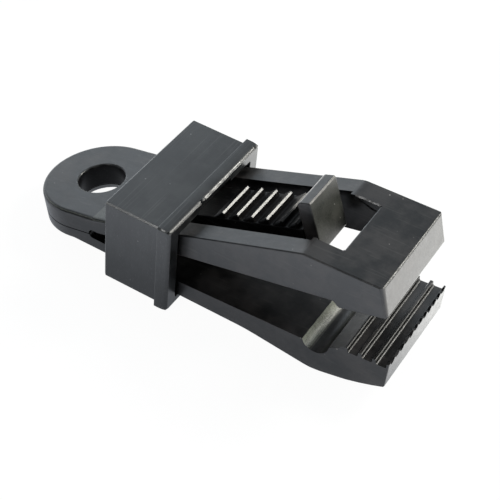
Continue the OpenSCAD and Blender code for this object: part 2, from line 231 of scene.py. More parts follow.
class Solid:
    """A closed mesh in the making, in millimetres, with x from the collar's front face."""

    def __init__(self, bm: bmesh.types.BMesh) -> None:
        """Keeps the mesh."""
        self.bm = bm

    def mark(self, layer: str, value: Callable[[bmesh.types.BMFace], float]) -> "Solid":
        """Writes a value for each face in one of the layers that the finish reads.

        Args:
            layer: The layer's name.
            value: Gives the value for a face; a face keeps its larger value.

        Returns:
            This solid.
        """
        layers = self.bm.faces.layers.float
        kept = layers.get(layer) or layers.new(layer)
        for face in self.bm.faces:
            face[kept] = max(face[kept], value(face))
        return self

    @classmethod
    def loft(cls, loops: Sequence[Sequence[Vector]]) -> "Solid":
        """Skins a row of closed loops of equal length and closes both ends.

        Args:
            loops: The loops in order, each with the same number of points.

        Returns:
            The closed solid.
        """
        bm = bmesh.new()
        rows = [[bm.verts.new(co) for co in loop] for loop in loops]
        for low, high in zip(rows, rows[1:]):
            for k in range(len(low)):
                bm.faces.new((low[k - 1], low[k], high[k], high[k - 1]))
        bm.faces.new(rows[0])
        bm.faces.new(rows[-1])
        bmesh.ops.remove_doubles(bm, verts=bm.verts, dist=SAME)
        bmesh.ops.recalc_face_normals(bm, faces=bm.faces)
        return cls(bm)

    @classmethod
    def prism(cls, outline: Sequence[Corner], low: float, high: float, axes: Axes = SIDE, edge_r: float = 0.0,
              steps: int = 4) -> "Solid":
        """Extrudes an outline and rounds the edges of both end faces.

        Args:
            outline: The outline's corners, counter-clockwise.
            low: The height of the first end face.
            high: The height of the last end face.
            axes: The directions of the outline and the extrusion.
            edge_r: The radius of the end faces' edges.
            steps: The number of steps in that rounding.

        Returns:
            The closed solid.
        """
        rings: list[tuple[float, float]] = [(low, 0.0), (high, 0.0)]
        if edge_r > 0.0:
            curve = [(edge_r * (1 - math.sin(a)), edge_r * (1 - math.cos(a)))
                     for a in (math.pi / 2 * k / steps for k in range(steps + 1))]
            rings = [(low + h, d) for h, d in reversed(curve)] + [(high - h, d) for h, d in curve]
        return cls.loft([[axes.at(a, b, h) for a, b in rounded(inset(outline, d))] for h, d in rings])

    def combine(self, tool: "Solid", how: Mix) -> "Solid":
        """Cuts, joins or meets this solid with another one.

        Args:
            tool: The other solid, which is used up.
            how: The way of putting them together.

        Returns:
            This solid.
        """
        base, other = self._object("base"), tool._object("tool")
        modifier = base.modifiers.new("mix", "BOOLEAN")
        modifier.operation = how.value
        modifier.solver = "EXACT"
        modifier.object = other
        self._take(base)
        tool.bm.free()
        _discard(other)
        bmesh.ops.remove_doubles(self.bm, verts=self.bm.verts, dist=WELD)
        bmesh.ops.dissolve_limit(self.bm, angle_limit=math.radians(FLAT_DEGREES), verts=self.bm.verts,
                                 edges=self.bm.edges)
        return self

    def soften(self, width: float, where: Callable[[Vector], bool] = lambda middle: True, sharper: float = 35.0,
               segments: int = 3, wear_and_highlight: float = 0.25) -> "Solid":
        """Rounds the sharp edges of the solid.

        Args:
            width: The width of the rounding.
            where: Says from an edge's middle whether it is rounded.
            sharper: The smallest turn in degrees at an edge that is rounded.
            segments: The number of steps in the rounding.
            wear_and_highlight: How rubbed the rounding looks, which also paints a highlight on it, from 0 to 1.

        Returns:
            This solid.
        """
        limit = math.radians(sharper)
        edges = [edge for edge in self.bm.edges
                 if len(edge.link_faces) == 2 and edge.calc_face_angle(0.0) > limit
                 and where((edge.verts[0].co + edge.verts[1].co) / 2)]
        softened: set[bmesh.types.BMFace] = set()
        for chain in self._chains(edges):
            made = bmesh.ops.bevel(self.bm, geom=chain, offset=width, offset_type="OFFSET", segments=segments,
                                   profile=0.5, affect="EDGES", clamp_overlap=True, loop_slide=True)
            softened.update(made["faces"])
        # The rounding gets the edge mark, which the finish paints as rubbing and as a highlight
        self.mark("edge", lambda face: wear_and_highlight * (face in softened))
        bmesh.ops.remove_doubles(self.bm, verts=self.bm.verts, dist=WELD)
        return self

    @staticmethod
    def _chains(edges: Sequence[bmesh.types.BMEdge]) -> list[list[bmesh.types.BMEdge]]:
        """Sorts edges into chains that share no corner, so that a short edge holds back only its own chain.

        Args:
            edges: The edges to sort.

        Returns:
            The chains.
        """
        left, chains = set(edges), []
        for edge in edges:
            if edge not in left:
                continue
            left.discard(edge)
            chain = [edge]
            for member in chain:
                near = [other for vert in member.verts for other in vert.link_edges if other in left]
                left.difference_update(near)
                chain += near
            chains.append(chain)
        return chains

    def split(self, place: Vector, way: Vector) -> "Solid":
        """Splits the faces along a plane, so that marks can change there.

        Args:
            place: A point on the plane.
            way: The plane's normal.

        Returns:
            This solid.
        """
        parts = self.bm.verts[:] + self.bm.edges[:] + self.bm.faces[:]
        bmesh.ops.bisect_plane(self.bm, geom=parts, dist=SAME, plane_co=place, plane_no=way)
        return self

    def add(self, other: "Solid") -> "Solid":
        """Adds another closed shell that sits in this solid.

        Args:
            other: The other shell, which is used up.

        Returns:
            This solid.
        """
        mesh = bpy.data.meshes.new("shell")
        other.bm.to_mesh(mesh)
        self.bm.from_mesh(mesh)
        bpy.data.meshes.remove(mesh)
        other.bm.free()
        return self

    def row(self, count: int, start: Vector, pitch: Vector, spread: float = 0.0, seed: int = 0) -> "Solid":
        """Repeats the solid along a line with Geometry Nodes.

        Args:
            count: The number of copies.
            start: The place of the first copy's origin.
            pitch: The step from one copy to the next.
            spread: The largest random loss of height.
            seed: The seed of that loss.

        Returns:
            This solid, now with all the copies.
        """
        base = self._object("row")
        tree = row_tree()
        modifier = base.modifiers.new("row", "NODES")
        modifier.node_group = tree
        values = {"Count": count, "Start": tuple(start), "Pitch": tuple(pitch), "Spread": spread, "Seed": seed,
                  "Material": bpy.data.materials.get(SHELL.name)}
        for item in tree.interface.items_tree:
            if item.item_type == "SOCKET" and item.name in values:
                modifier[item.identifier] = values[item.name]
        self._take(base)
        return self

    def _object(self, name: str) -> bpy.types.Object:
        """Makes a scratch object of the solid.

        Args:
            name: The object's name.

        Returns:
            The object.
        """
        mesh = bpy.data.meshes.new(name)
        self.bm.to_mesh(mesh)
        made = bpy.data.objects.new(name, mesh)
        bpy.context.scene.collection.objects.link(made)
        return made

    def _take(self, source: bpy.types.Object) -> None:
        """Takes over the evaluated mesh of a scratch object and discards the object.

        Args:
            source: The scratch object.
        """
        bpy.context.view_layer.update()
        graph = bpy.context.evaluated_depsgraph_get()
        mesh = bpy.data.meshes.new_from_object(source.evaluated_get(graph), depsgraph=graph)
        self.bm.clear()
        self.bm.from_mesh(mesh)
        bpy.data.meshes.remove(mesh)
        _discard(source)

    def piece(self, name: str, material: bpy.types.Material, body: Body, node: str, slot: Slot) -> bpy.types.Object:
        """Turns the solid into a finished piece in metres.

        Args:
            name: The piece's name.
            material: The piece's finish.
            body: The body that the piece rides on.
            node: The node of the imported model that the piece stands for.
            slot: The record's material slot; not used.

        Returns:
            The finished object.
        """
        # Every face gets the marks the finish reads: rubbing with painted highlight, painted light and painted shade
        for layer in ("edge", "haze", "dull"):
            self.mark(layer, lambda face: 0.0)
        scale = Matrix.Scale(MM, 4) @ Matrix.Translation((LAYOUT.shift, 0.0, 0.0))
        bmesh.ops.transform(self.bm, matrix=scale, verts=self.bm.verts)
        bmesh.ops.recalc_face_normals(self.bm, faces=self.bm.faces)
        for face in self.bm.faces:
            face.smooth = True
        for edge in self.bm.edges:
            edge.smooth = edge.calc_face_angle(0.0) < math.radians(SHARP_DEGREES)
        draft = self._object(name + "_draft")
        normals = draft.modifiers.new("normals", "WEIGHTED_NORMAL")
        normals.mode = "FACE_AREA"
        normals.weight = NORMAL_WEIGHT
        normals.keep_sharp = True
        bpy.context.view_layer.update()
        graph = bpy.context.evaluated_depsgraph_get()
        mesh = bpy.data.meshes.new_from_object(draft.evaluated_get(graph), depsgraph=graph)
        mesh.name = name
        _discard(draft)
        self.bm.free()
        mesh.materials.clear()
        mesh.materials.append(material)
        made = bpy.data.objects.new(name, mesh)
        bpy.context.scene.collection.objects.link(made)
        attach(made, body.value)
        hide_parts(node)
        LOG.info("%s: %d faces on %s", name, len(mesh.polygons), body.value)
        return made


def _discard(scratch: bpy.types.Object) -> None:
    """Removes a scratch object and its mesh.

    Args:
        scratch: The object.
    """
    mesh = scratch.data
    bpy.data.objects.remove(scratch)
    bpy.data.meshes.remove(mesh)


class Graph:
    """A small builder of node trees."""

    def __init__(self, tree: bpy.types.NodeTree) -> None:
        """Starts from an empty tree."""
        self.tree = tree
        tree.nodes.clear()

    def node(self, kind: str, inputs: Optional[Mapping[Any, Any]] = None, **settings: Any) -> bpy.types.Node:
        """Adds a node.

        Args:
            kind: The node's type.
            inputs: Values or linked sockets by input name or number.
            settings: The node's own settings.

        Returns:
            The new node.
        """
        made = self.tree.nodes.new(kind)
        for key, value in settings.items():
            setattr(made, key, value)
        for key, value in (inputs or {}).items():
            if isinstance(value, bpy.types.NodeSocket):
                self.tree.links.new(value, made.inputs[key])
            else:
                made.inputs[key].default_value = value
        return made

    def math(self, operation: str, first: Any, second: Any = 0.0) -> bpy.types.NodeSocket:
        """Adds a Math node and gives its result."""
        return self.node("ShaderNodeMath", {0: first, 1: second}, operation=operation).outputs[0]

    def noise(self, spot: bpy.types.NodeSocket, scale: float, detail: float,
              rough: float = 0.5) -> bpy.types.NodeSocket:
        """Adds a noise and gives its value.

        Args:
            spot: The place at which the noise is read.
            scale: How fine the noise is.
            detail: The number of finer layers.
            rough: How strong those layers are.

        Returns:
            The value's socket.
        """
        inputs = {"Vector": spot, "Scale": scale, "Detail": detail, "Roughness": rough}
        return self.node("ShaderNodeTexNoise", inputs).outputs[0]

    def blend(self, share: Any, first: Any, second: Any) -> bpy.types.NodeSocket:
        """Mixes the second colour into the first by a share and gives the result."""
        return self.node("ShaderNodeMix", {"Factor": share, 6: first, 7: second}, data_type="RGBA").outputs[2]

    def mark(self, layer: str) -> bpy.types.NodeSocket:
        """Reads one of the layers that the faces are marked in."""
        return self.node("ShaderNodeAttribute", attribute_name=layer).outputs["Fac"]

    def span(self, value: Any, low: float, high: float, to_low: float, to_high: float) -> bpy.types.NodeSocket:
        """Maps a value smoothly from one range to another and gives the result.

        Args:
            value: The value or its socket.
            low: The start of its range.
            high: The end of its range.
            to_low: The result at the start.
            to_high: The result at the end.

        Returns:
            The result's socket.
        """
        made = self.node("ShaderNodeMapRange", {"Value": value, "From Min": low, "From Max": high,
                                                "To Min": to_low, "To Max": to_high}, interpolation_type="SMOOTHSTEP")
        return made.outputs[0]


def row_tree() -> bpy.types.NodeTree:
    """Gives the Geometry Nodes tree that repeats a shape along a line, and builds it once.

    Returns:
        The tree.
    """
    name = "row_of_copies"
    if name in bpy.data.node_groups:
        return bpy.data.node_groups[name]
    tree = bpy.data.node_groups.new(name, "GeometryNodeTree")
    sockets = (("Geometry", "NodeSocketGeometry"), ("Count", "NodeSocketInt"), ("Start", "NodeSocketVector"),
               ("Pitch", "NodeSocketVector"), ("Spread", "NodeSocketFloat"), ("Seed", "NodeSocketInt"),
               ("Material", "NodeSocketMaterial"))
    for label, kind in sockets:
        tree.interface.new_socket(label, in_out="INPUT", socket_type=kind)
    tree.interface.new_socket("Geometry", in_out="OUTPUT", socket_type="NodeSocketGeometry")
    graph = Graph(tree)
    given = graph.node("NodeGroupInput").outputs
    line = graph.node("GeometryNodeMeshLine", {"Count": given["Count"], "Start Location": given["Start"],
                                               "Offset": given["Pitch"]}, mode="OFFSET")
    least = graph.math("SUBTRACT", 1.0, given["Spread"])
    height = graph.node("FunctionNodeRandomValue", {2: least, 3: 1.0, "Seed": given["Seed"]}, data_type="FLOAT")
    size = graph.node("ShaderNodeCombineXYZ", {"X": 1.0, "Y": 1.0, "Z": height.outputs[1]})
    copies = graph.node("GeometryNodeInstanceOnPoints", {"Points": line.outputs[0], "Instance": given["Geometry"],
                                                         "Scale": size.outputs[0]})
    real = graph.node("GeometryNodeRealizeInstances", {"Geometry": copies.outputs[0]})
    dressed = graph.node("GeometryNodeSetMaterial", {"Geometry": real.outputs[0], "Material": given["Material"]})
    graph.node("NodeGroupOutput", {"Geometry": dressed.outputs[0]})
    return tree


@dataclass(frozen=True)
class Layout:
    """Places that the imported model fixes, in millimetres from the collar's front face."""

    shift: float
    half_w: float
    tip: float
    pivot: Point
    root: Point
    open_angle: float
    eye: Point
    eye_tilt: float
    hole_r: float
    collar_low: Vector
    collar_high: Vector

    @classmethod
    def read(cls, eye_upper_t: float, eye_lower_t: float) -> "Layout":
        """Reads the places from the frame.

        Args:
            eye_upper_t: The thickness of the upper eye plate.
            eye_lower_t: The thickness of the lower eye plate.

        Returns:
            The places.
        """
        joints = {joint["name"]: joint for joint in frame["joints"]}
        mount = frame["record"]["mounts"][0]
        low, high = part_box("locking_collar")
        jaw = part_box("lower_jaw")[1]
        shift = high.x / MM
        neck, root = joints["jaw_close"]["pos_m"], joints["tongue_press"]["pos_m"]
        axis = Vector(mount["axis"])
        middle = Vector(mount["pos_m"]) / MM - axis * (eye_upper_t - eye_lower_t) / 2
        return cls(shift=shift, half_w=jaw.y / MM, tip=jaw.x / MM - shift,
                   pivot=(neck[0] / MM - shift, neck[2] / MM), root=(root[0] / MM - shift, root[2] / MM),
                   open_angle=joints["jaw_close"]["range_deg"][1], eye=(middle.x - shift, middle.z),
                   eye_tilt=math.degrees(math.atan2(-axis.x, axis.z)), hole_r=mount["dims"]["r_mm"],
                   collar_low=low / MM, collar_high=high / MM)

    def eye_axes(self) -> Axes:
        """Gives the axes of the plane where the two eye plates meet, with the rope hole along them.

        Returns:
            The axes.
        """
        tilt = math.radians(self.eye_tilt)
        return Axes(Vector((self.eye[0], 0.0, self.eye[1])), Vector((math.cos(tilt), 0.0, math.sin(tilt))),
                    Vector((0.0, 1.0, 0.0)), Vector((-math.sin(tilt), 0.0, math.cos(tilt))))

    def on_eye(self, along: float, high: float, r: float = 0.0) -> Corner:
        """Gives a side-outline corner from a place along the eye and a height over its seat."""
        return turned([Corner(along, high, r)], self.eye_tilt, self.eye)[0]


EYE_UPPER_T = 3.94
EYE_LOWER_T = 2.36
LAYOUT = Layout.read(EYE_UPPER_T, EYE_LOWER_T)


@dataclass(frozen=True)
class SatinPlastic:
    """Moulded black plastic with a satin skin: mottled tone, fine grain, flow lines, dust, rubbed edges that also
    paint highlights, painted light and painted shade.
    """

    name: str
    tint: Colour
    shade: Colour
    # The rubbed-edge colour also paints highlights; the dust colour is real dust; the pale colour after it is painted
    # light on faces turned to the lamps
    wear_highlight_tone: Colour
    dust: Colour
    haze: Colour
    polish: float
    rough_low: float
    rough_high: float
    grain: float
    flow: tuple[float, float, float]
    flow_depth: float
    scratch: tuple[float, float, float]
    scratched: float
    cloud: float = 0.14
    chips: float = 0.85
    cells: float = 0.42
    grain_depth: float = 0.14
    grain_loss: float = 0.12
    grain_mm: float = 0.02
    flow_mm: float = 0.03
    ior: float = 1.5
    # Gloss, how far the painted shade mark lowers it, and whether it does
    gloss: float = 0.5
    shade_gloss_loss: float = 0.42
    shade_in_gloss: bool = True

    def build(self) -> bpy.types.Material:
        """Builds the node material.

        Returns:
            The material.
        """
        material = bpy.data.materials.new(self.name)
        material.use_nodes = True
        graph = Graph(material.node_tree)
        # Noises over the piece, in millimetres
        place = graph.node("ShaderNodeTexCoord").outputs["Object"]
        spot = graph.node("ShaderNodeMapping", {"Vector": place, "Scale": (1 / MM, 1 / MM, 1 / MM)}).outputs[0]
        drawn = graph.node("ShaderNodeMapping", {"Vector": spot, "Scale": self.flow}).outputs[0]
        cloud = graph.noise(spot, self.cloud, 6.0, 0.62)
        grain = graph.noise(spot, self.grain, 3.0)
        flow = graph.noise(drawn, 1.0, 3.0, 0.7)
        cells = graph.node("ShaderNodeTexVoronoi", {"Vector": spot, "Scale": self.cells,
                                                    "Randomness": 1.0}).outputs[0]
        # Rubbed edges and painted highlights from the edge mark, broken up by chips
        chips = graph.span(graph.noise(spot, self.chips, 3.0), 0.42, 0.6, 0.12, 1.0)
        whole = graph.math("MINIMUM", graph.math("MULTIPLY", graph.mark("edge"), chips), 1.0)
        rub_and_highlight = graph.math("MULTIPLY", whole, graph.span(grain, 0.35, 0.65, 0.75, 1.0))
        lines = graph.node("ShaderNodeMapping", {"Vector": spot, "Scale": self.scratch}).outputs[0]
        scratch = graph.noise(lines, 1.0, 1.0)
        # Base colour: mottled skin, less mottled under painted shade, dust and scratches, painted light, then the
        # rubbed edges and painted highlights
        dull = graph.mark("dull")
        mottle = graph.math("MULTIPLY", graph.span(cloud, 0.38, 0.66, 0.0, 1.0),
                            graph.span(dull, 0.0, 1.0, 1.0, 0.2))
        skin = graph.blend(mottle, self.tint, self.shade)
        speck = graph.math("MAXIMUM", graph.math("MULTIPLY", graph.span(cells, 0.03, 0.085, 0.8, 0.0),
                                                 graph.span(cloud, 0.48, 0.58, 0.0, 1.0)),
                           graph.span(scratch, 0.6, 0.72, 0.0, self.scratched))
        dusty = graph.blend(speck, skin, self.dust)
        painted_light_share = graph.math("MULTIPLY", graph.mark("haze"),
                           graph.span(graph.math("ADD", cloud, grain), 0.75, 1.2, 0.35, 1.1))
        base = graph.blend(rub_and_highlight, graph.blend(painted_light_share, dusty, self.haze), self.wear_highlight_tone)
        # Gloss, lowered under painted shade, roughness and the bumps of grain and flow; gloss that is the same all
        # over stays a plain value
        gloss: Any = self.gloss
        if self.shade_in_gloss:
            gloss = graph.math("SUBTRACT", self.gloss, graph.math("MULTIPLY", dull, self.shade_gloss_loss))
        uneven = graph.math("ADD", graph.math("MULTIPLY", cloud, 0.55), graph.math("MULTIPLY", flow, 0.45))
        rough = graph.math("SUBTRACT", graph.span(uneven, 0.3, 0.7, self.rough_low, self.rough_high),
                           graph.math("MULTIPLY", rub_and_highlight, self.polish))
        skin_bump = graph.node("ShaderNodeBump", {
            "Height": grain, "Distance": self.grain_mm * MM,
            "Strength": graph.math("SUBTRACT", self.grain_depth, graph.math("MULTIPLY", rub_and_highlight, self.grain_loss))})
        bump = graph.node("ShaderNodeBump", {"Height": flow, "Strength": self.flow_depth,
                                             "Distance": self.flow_mm * MM, "Normal": skin_bump.outputs[0]})
        surface = graph.node("ShaderNodeBsdfPrincipled", {
            "Base Color": base, "Roughness": rough, "Normal": bump.outputs[0], "IOR": self.ior,
            "Specular IOR Level": gloss})
        graph.node("ShaderNodeOutputMaterial", {"Surface": surface.outputs[0]})
        return material


# The shell's pale greenish colour is painted light, and its rubbed-edge colour also paints highlights
SHELL = SatinPlastic("shell_plastic", tint=(0.002, 0.002, 0.0022, 1.0), shade=(0.031, 0.028, 0.027, 1.0),
                     wear_highlight_tone=(0.05, 0.05, 0.05, 1.0), dust=(0.3, 0.29, 0.27, 1.0), haze=(0.72, 0.75, 0.63, 1.0),
                     polish=0.16, rough_low=0.3, rough_high=0.42, grain=5.0, flow=(0.07, 1.1, 0.9), flow_depth=0.4,
                     scratch=(0.12, 1.9, 1.9), scratched=0.04)
# The collar's grey is painted light that no collar face is marked for, and its rubbed-edge colour also paints
# highlight lines on the chamfers
COLLAR_SKIN = SatinPlastic("collar_plastic", tint=(0.007, 0.0075, 0.008, 1.0), shade=(0.022, 0.0235, 0.0245, 1.0),
                           wear_highlight_tone=(0.1, 0.102, 0.1, 1.0), dust=(0.16, 0.16, 0.16, 1.0), haze=(0.3, 0.3, 0.3, 1.0),
                           polish=0.16, rough_low=0.3, rough_high=0.44, grain=4.2, flow=(1.1, 0.035, 0.1),
                           flow_depth=0.25, scratch=(4.2, 0.045, 1.5), scratched=0.11, shade_in_gloss=False)


@dataclass
class LowerHalf:
    """The lower jaw with its half of the eye, and the upper eye plate that is fixed to it."""

    bar_z: float = 1.85
    bar_top: float = 5.5
    under_r: float = 4.0
    heel: Point = (-14.8, 3.15)
    heel_r: float = 6.0
    heel_end: float = -9.1
    heel_end_r: float = 8.0
    bar_bend: float = 15.2
    bar_bend_r: float = 30.0
    belly: Point = (29.3, 0.25)
    belly_r: float = 16.0
    bow_r: float = 52.0
    tip_rise: float = 4.9
    lip_h: float = 10.8
    lip_t: float = 0.5
    lip_bevel: float = 0.06
    # Painted shade in the hole, the grooves and on the land, and painted light on the eye's rounding, the neck and
    # the cross groove's wall
    hole_shade: float = 0.8
    flare_shade: float = 0.35
    land_shade: float = 0.75
    rim_painted_light: float = 0.16
    neck_painted_light: float = 0.1
    cross_painted_light: float = 0.5
    plan_gap: float = 0.006
    spare: float = 3.0
    round_steps: int = 72
    bite_slope: float = 5.5
    groove_w: float = 2.1
    groove_depth: float = 1.0
    groove_flare: float = 0.13
    groove_pitch: float = 2.8
    groove_count: int = 3
    land_back: float = 8.6
    land_r: float = 0.5
    ramp_len: float = 3.2
    ramp_drop: float = 2.25
    cross_r: float = 2.75
    cross_gap: float = 0.04
    dip_rise: float = 0.49
    swell: Point = (2.0, 6.75)
    swell_r: float = 40.0
    notch_pitch: float = 1.9
    notch_w: float = 1.65
    notch_depth: float = 0.85
    slot: Point = (-19.7, 6.5)
    slot_r: float = 1.0
    ring_r: float = 6.2
    ring_depth: float = 0.9
    crease_back: float = 0.4
    barrel_r: float = 3.06
    socket_r: float = 1.96
    knuckle_r: float = 1.9
    mouth: Point = (11.65, 49.2)
    flare_r: float = 5.6
    tip_r: float = 0.7
    parting_t: float = 0.2
    parting_depth: float = 0.5
    edge: float = 0.2
    hole_edge: float = 0.42
    top_edge: float = 1.0

    def bite_z(self, x: float) -> float:
        """Gives the height of the biting land at a place along the jaw."""
        return self.lip_h + math.tan(math.radians(self.bite_slope)) * (x - LAYOUT.tip)

    def plan(self, trim: float = 0.0, low: float = -30.0, high: float = 40.0) -> Solid:
        """Builds the upright block whose rounded rear end trims both plates.

        Args:
            trim: How far the block's sides stand in.
            low: The height of its foot.
            high: The height of its head.

        Returns:
            The block.
        """
        half, axes = LAYOUT.half_w, LAYOUT.eye_axes()
        rear = arc((0.0, 0.0), half - trim - self.plan_gap, 90.0, 270.0, 64)
        return Solid.prism(rear + [Corner(90.0, trim - half), Corner(90.0, half - trim)], low, high, axes)

    def disc(self, r: float, low: float, high: float) -> Solid:
        """Builds a round block along the rope hole."""
        return Solid.prism(ring((0.0, 0.0), r, self.round_steps), low, high, LAYOUT.eye_axes())

    def flare(self) -> Solid:
        """Builds the cone that widens the rope hole through the lower plate.

        Returns:
            The cutter.
        """
        axes = LAYOUT.eye_axes()
        sizes = ((LAYOUT.hole_r, -self.ring_depth), (self.flare_r, -EYE_LOWER_T),
                 (self.flare_r + 0.4, -EYE_LOWER_T - 1.0))
        return Solid.loft([[axes.at(c.a, c.b, h) for c in ring((0.0, 0.0), r, self.round_steps)] for r, h in sizes])

    def tip_block(self) -> Solid:
        """Builds the upright block whose rounded front corners trim the jaw's tip.

        Returns:
            The block.
        """
        half, tip = LAYOUT.half_w + 1.0, LAYOUT.tip
        corners = [Corner(-60.0, -half), Corner(tip - self.tip_r - 1.0, -half),
                   Corner(tip - self.tip_r, 1.0 - half, 0.5), Corner(tip, 1.0 - half, self.tip_r),
                   Corner(tip, half - 1.0, self.tip_r), Corner(tip - self.tip_r, half - 1.0, 0.5),
                   Corner(tip - self.tip_r - 1.0, half), Corner(-60.0, half)]
        return Solid.prism(corners, -5.0, 20.0, PLAN)

    def parting(self) -> Solid:
        """Builds the thin gap that shows as the line between the two plates."""
        band = self.plan(-1.0, -self.parting_t, 0.6)
        return band.combine(self.plan(self.parting_depth, -2.0, 2.0), Mix.CUT)

    def jaw_outline(self) -> list[Corner]:
        """Lists the side outline of the lower jaw with its half of the eye.

        Returns:
            The corners, counter-clockwise.
        """
        tip, rear = LAYOUT.tip, -LAYOUT.half_w - self.spare
        land = tip - self.land_back
        ramp = Corner(land - self.ramp_len, self.bite_z(land) - self.ramp_drop)
        swell = Corner(ramp.a - 2 * self.cross_r, self.swell[1])
        lean = math.degrees(math.atan2(ramp.b - swell.b, ramp.a - swell.a))
        dip = ((ramp.a + swell.a) / 2, (ramp.b + swell.b) / 2 + self.dip_rise)
        chord = Vector((tip - self.belly[0], self.tip_rise - self.belly[1]))
        rise = math.sqrt(self.bow_r ** 2 - chord.length_squared / 4)
        square = Vector((-chord.y, chord.x)).normalized() * rise
        bow = (self.belly[0] + chord.x / 2 + square.x, self.belly[1] + chord.y / 2 + square.y)
        first = math.degrees(math.atan2(self.belly[1] - bow[1], self.belly[0] - bow[0]))
        last = math.degrees(math.atan2(self.tip_rise - bow[1], tip - bow[0]))
        curve = arc(bow, self.bow_r, first, last, 6)
        under = LAYOUT.on_eye(0.6, -EYE_LOWER_T)
        return ([LAYOUT.on_eye(rear, -EYE_LOWER_T), Corner(under.a, under.b, self.under_r),
                 Corner(*self.heel, self.heel_r), Corner(self.heel_end, self.bar_z, self.heel_end_r),
                 Corner(self.bar_bend, self.bar_z, self.bar_bend_r),
                 Corner(curve[0].a, curve[0].b, self.belly_r)]
                + curve[1:-1]
                + [Corner(tip, self.tip_rise, self.land_r), Corner(tip, self.lip_h - self.lip_bevel),
                   Corner(tip - self.lip_bevel, self.lip_h), Corner(land, self.bite_z(land), self.land_r)]
                + arc(dip, self.cross_r + self.cross_gap, lean - 10.0, lean - 170.0, 22)
                + [Corner(self.swell[0], self.bar_top, self.swell_r)]
                + arc(self.slot, self.slot_r, -90.0, -180.0 + LAYOUT.eye_tilt, 12)
                + [LAYOUT.on_eye(rear, 0.0)])

    def grooves(self) -> Solid:
        """Builds the cutters of the grip grooves: flat-bottomed troughs across the land.

        Returns:
            The cutters.
        """
        half, deep, flare = self.groove_w / 2, self.groove_depth, self.groove_flare
        wide = half + flare + 1.2
        trough = turned([Corner(-wide, 1.2), Corner(-half, -flare), Corner(-half, -deep, 0.5),
                         Corner(half, -deep, 0.5), Corner(half, -flare), Corner(wide, 1.2)],
                        self.bite_slope, (0.0, 0.0))
        first = LAYOUT.tip - self.lip_t - half
        slope = math.tan(math.radians(self.bite_slope))
        return Solid.prism(trough, -LAYOUT.half_w - 1.0, LAYOUT.half_w + 1.0).row(
            self.groove_count, Vector((first, 0.0, self.bite_z(first))),
            Vector((-self.groove_pitch, 0.0, -self.groove_pitch * slope)))

    def notches(self) -> Solid:
        """Builds the cutters of the notches along the front lip.

        Returns:
            The cutters.
        """
        half = self.notch_w / 2
        vee = [Corner(-half, 0.6), Corner(-half, 0.0), Corner(-0.42, -self.notch_depth, 0.2),
               Corner(0.35, -self.notch_depth, 0.2), Corner(half, 0.0), Corner(half, 0.6)]
        count = int(2 * LAYOUT.half_w / self.notch_pitch)
        start = Vector((LAYOUT.tip - self.lip_t - 0.5, -(count - 1) / 2 * self.notch_pitch, self.lip_h))
        return Solid.prism(vee, 0.0, self.lip_t + 1.5, FRONT).row(
            count, start, Vector((0.0, self.notch_pitch, 0.0)), spread=0.55, seed=4)

    def at_seam(self, middle: Vector) -> bool:
        """Says whether an edge lies on the line between the two plates or on the slot that ends it.

        Args:
            middle: The edge's middle.

        Returns:
            True on the line or the slot.
        """
        axes = LAYOUT.eye_axes()
        high = (middle - axes.origin).dot(axes.along)
        in_slot = middle.x < self.heel[0] and abs(middle.z - self.slot[1]) < self.slot_r + 0.1
        return in_slot or (middle.x < self.slot[0] - self.slot_r and -0.45 < high < 0.7)

    def in_hole(self, face: bmesh.types.BMFace) -> bool:
        """Says whether a face lies on the wall of the rope hole.

        Args:
            face: The face.

        Returns:
            True on the hole's wall.
        """
        axes = LAYOUT.eye_axes()
        arm = face.calc_center_median() - axes.origin
        return abs(face.normal.dot(axes.along)) < 0.3 and arm.cross(axes.along).length < self.flare_r + 0.1

    def painted_shade_of(self, face: bmesh.types.BMFace) -> float:
        """Gives the painted shade of a face, as darker colour and lower gloss: the hole's wall and the grooves' steep
        sides most, the land less.

        Args:
            face: The face.

        Returns:
            The painted shade, from 0 to 1.
        """
        x, steep = face.calc_center_median().x, abs(face.normal.x)
        land = LAYOUT.tip - self.land_back
        if self.in_hole(face):
            return self.hole_shade
        if land < x < LAYOUT.tip - 0.2:
            return 1.0 if steep > 0.8 else self.flare_shade * (steep > 0.4)
        return self.land_shade * (land - self.ramp_len - 0.5 < x < land + 0.3 and face.normal.z > 0.7)

    def build_jaw(self, material: bpy.types.Material) -> None:
        """Builds the lower jaw.

        Args:
            material: The shell's finish.
        """
        half = LAYOUT.half_w
        jaw = Solid.prism(self.jaw_outline(), -half - 2.0, half + 2.0)
        jaw.combine(self.plan(), Mix.MEET)
        jaw.combine(self.tip_block(), Mix.MEET)
        jaw.combine(self.disc(LAYOUT.hole_r, -10.0, 10.0), Mix.CUT)
        jaw.combine(self.flare(), Mix.CUT)
        jaw.combine(self.disc(self.ring_r + 0.06, -self.ring_depth - 0.06, 4.0), Mix.CUT)
        jaw.combine(self.parting(), Mix.CUT)
        jaw.combine(self.grooves(), Mix.CUT)
        jaw.combine(self.notches(), Mix.CUT)
        land = LAYOUT.tip - self.land_back - 0.5
        jaw.soften(self.edge, where=lambda m: m.x < land and not self.at_seam(m))
        trough = (land - self.ramp_len - 2 * self.cross_r - 0.2, land - self.ramp_len - 1.0)
        # Painted shade in the hole and the grooves, and painted light on the cross groove's wall that faces the lamps
        jaw.mark("dull", self.painted_shade_of)
        jaw.mark("haze", lambda face: min(max(1.5 * face.normal.x - 0.3, 0.0), self.cross_painted_light) * (
            trough[0] < face.calc_center_median().x < trough[1] and face.normal.z > 0.05))
        jaw.piece("lower_jaw_moulding", material, Body.LOWER_HALF, "lower_jaw", Slot.BODY)

    def crease(self) -> Point:
        """Gives the place where the eye's top meets the neck's."""
        x, tilt = self.slot[0] - self.crease_back, math.radians(LAYOUT.eye_tilt)
        return x, LAYOUT.eye[1] + math.tan(tilt) * (x - LAYOUT.eye[0]) + EYE_UPPER_T / math.cos(tilt)

    def neck_end(self) -> Point:
        """Gives the place where the neck's top meets the barrel round the socket."""
        pivot = LAYOUT.pivot
        return circle_hit(self.crease(), (pivot[0], pivot[1] + self.knuckle_r), pivot, self.barrel_r)

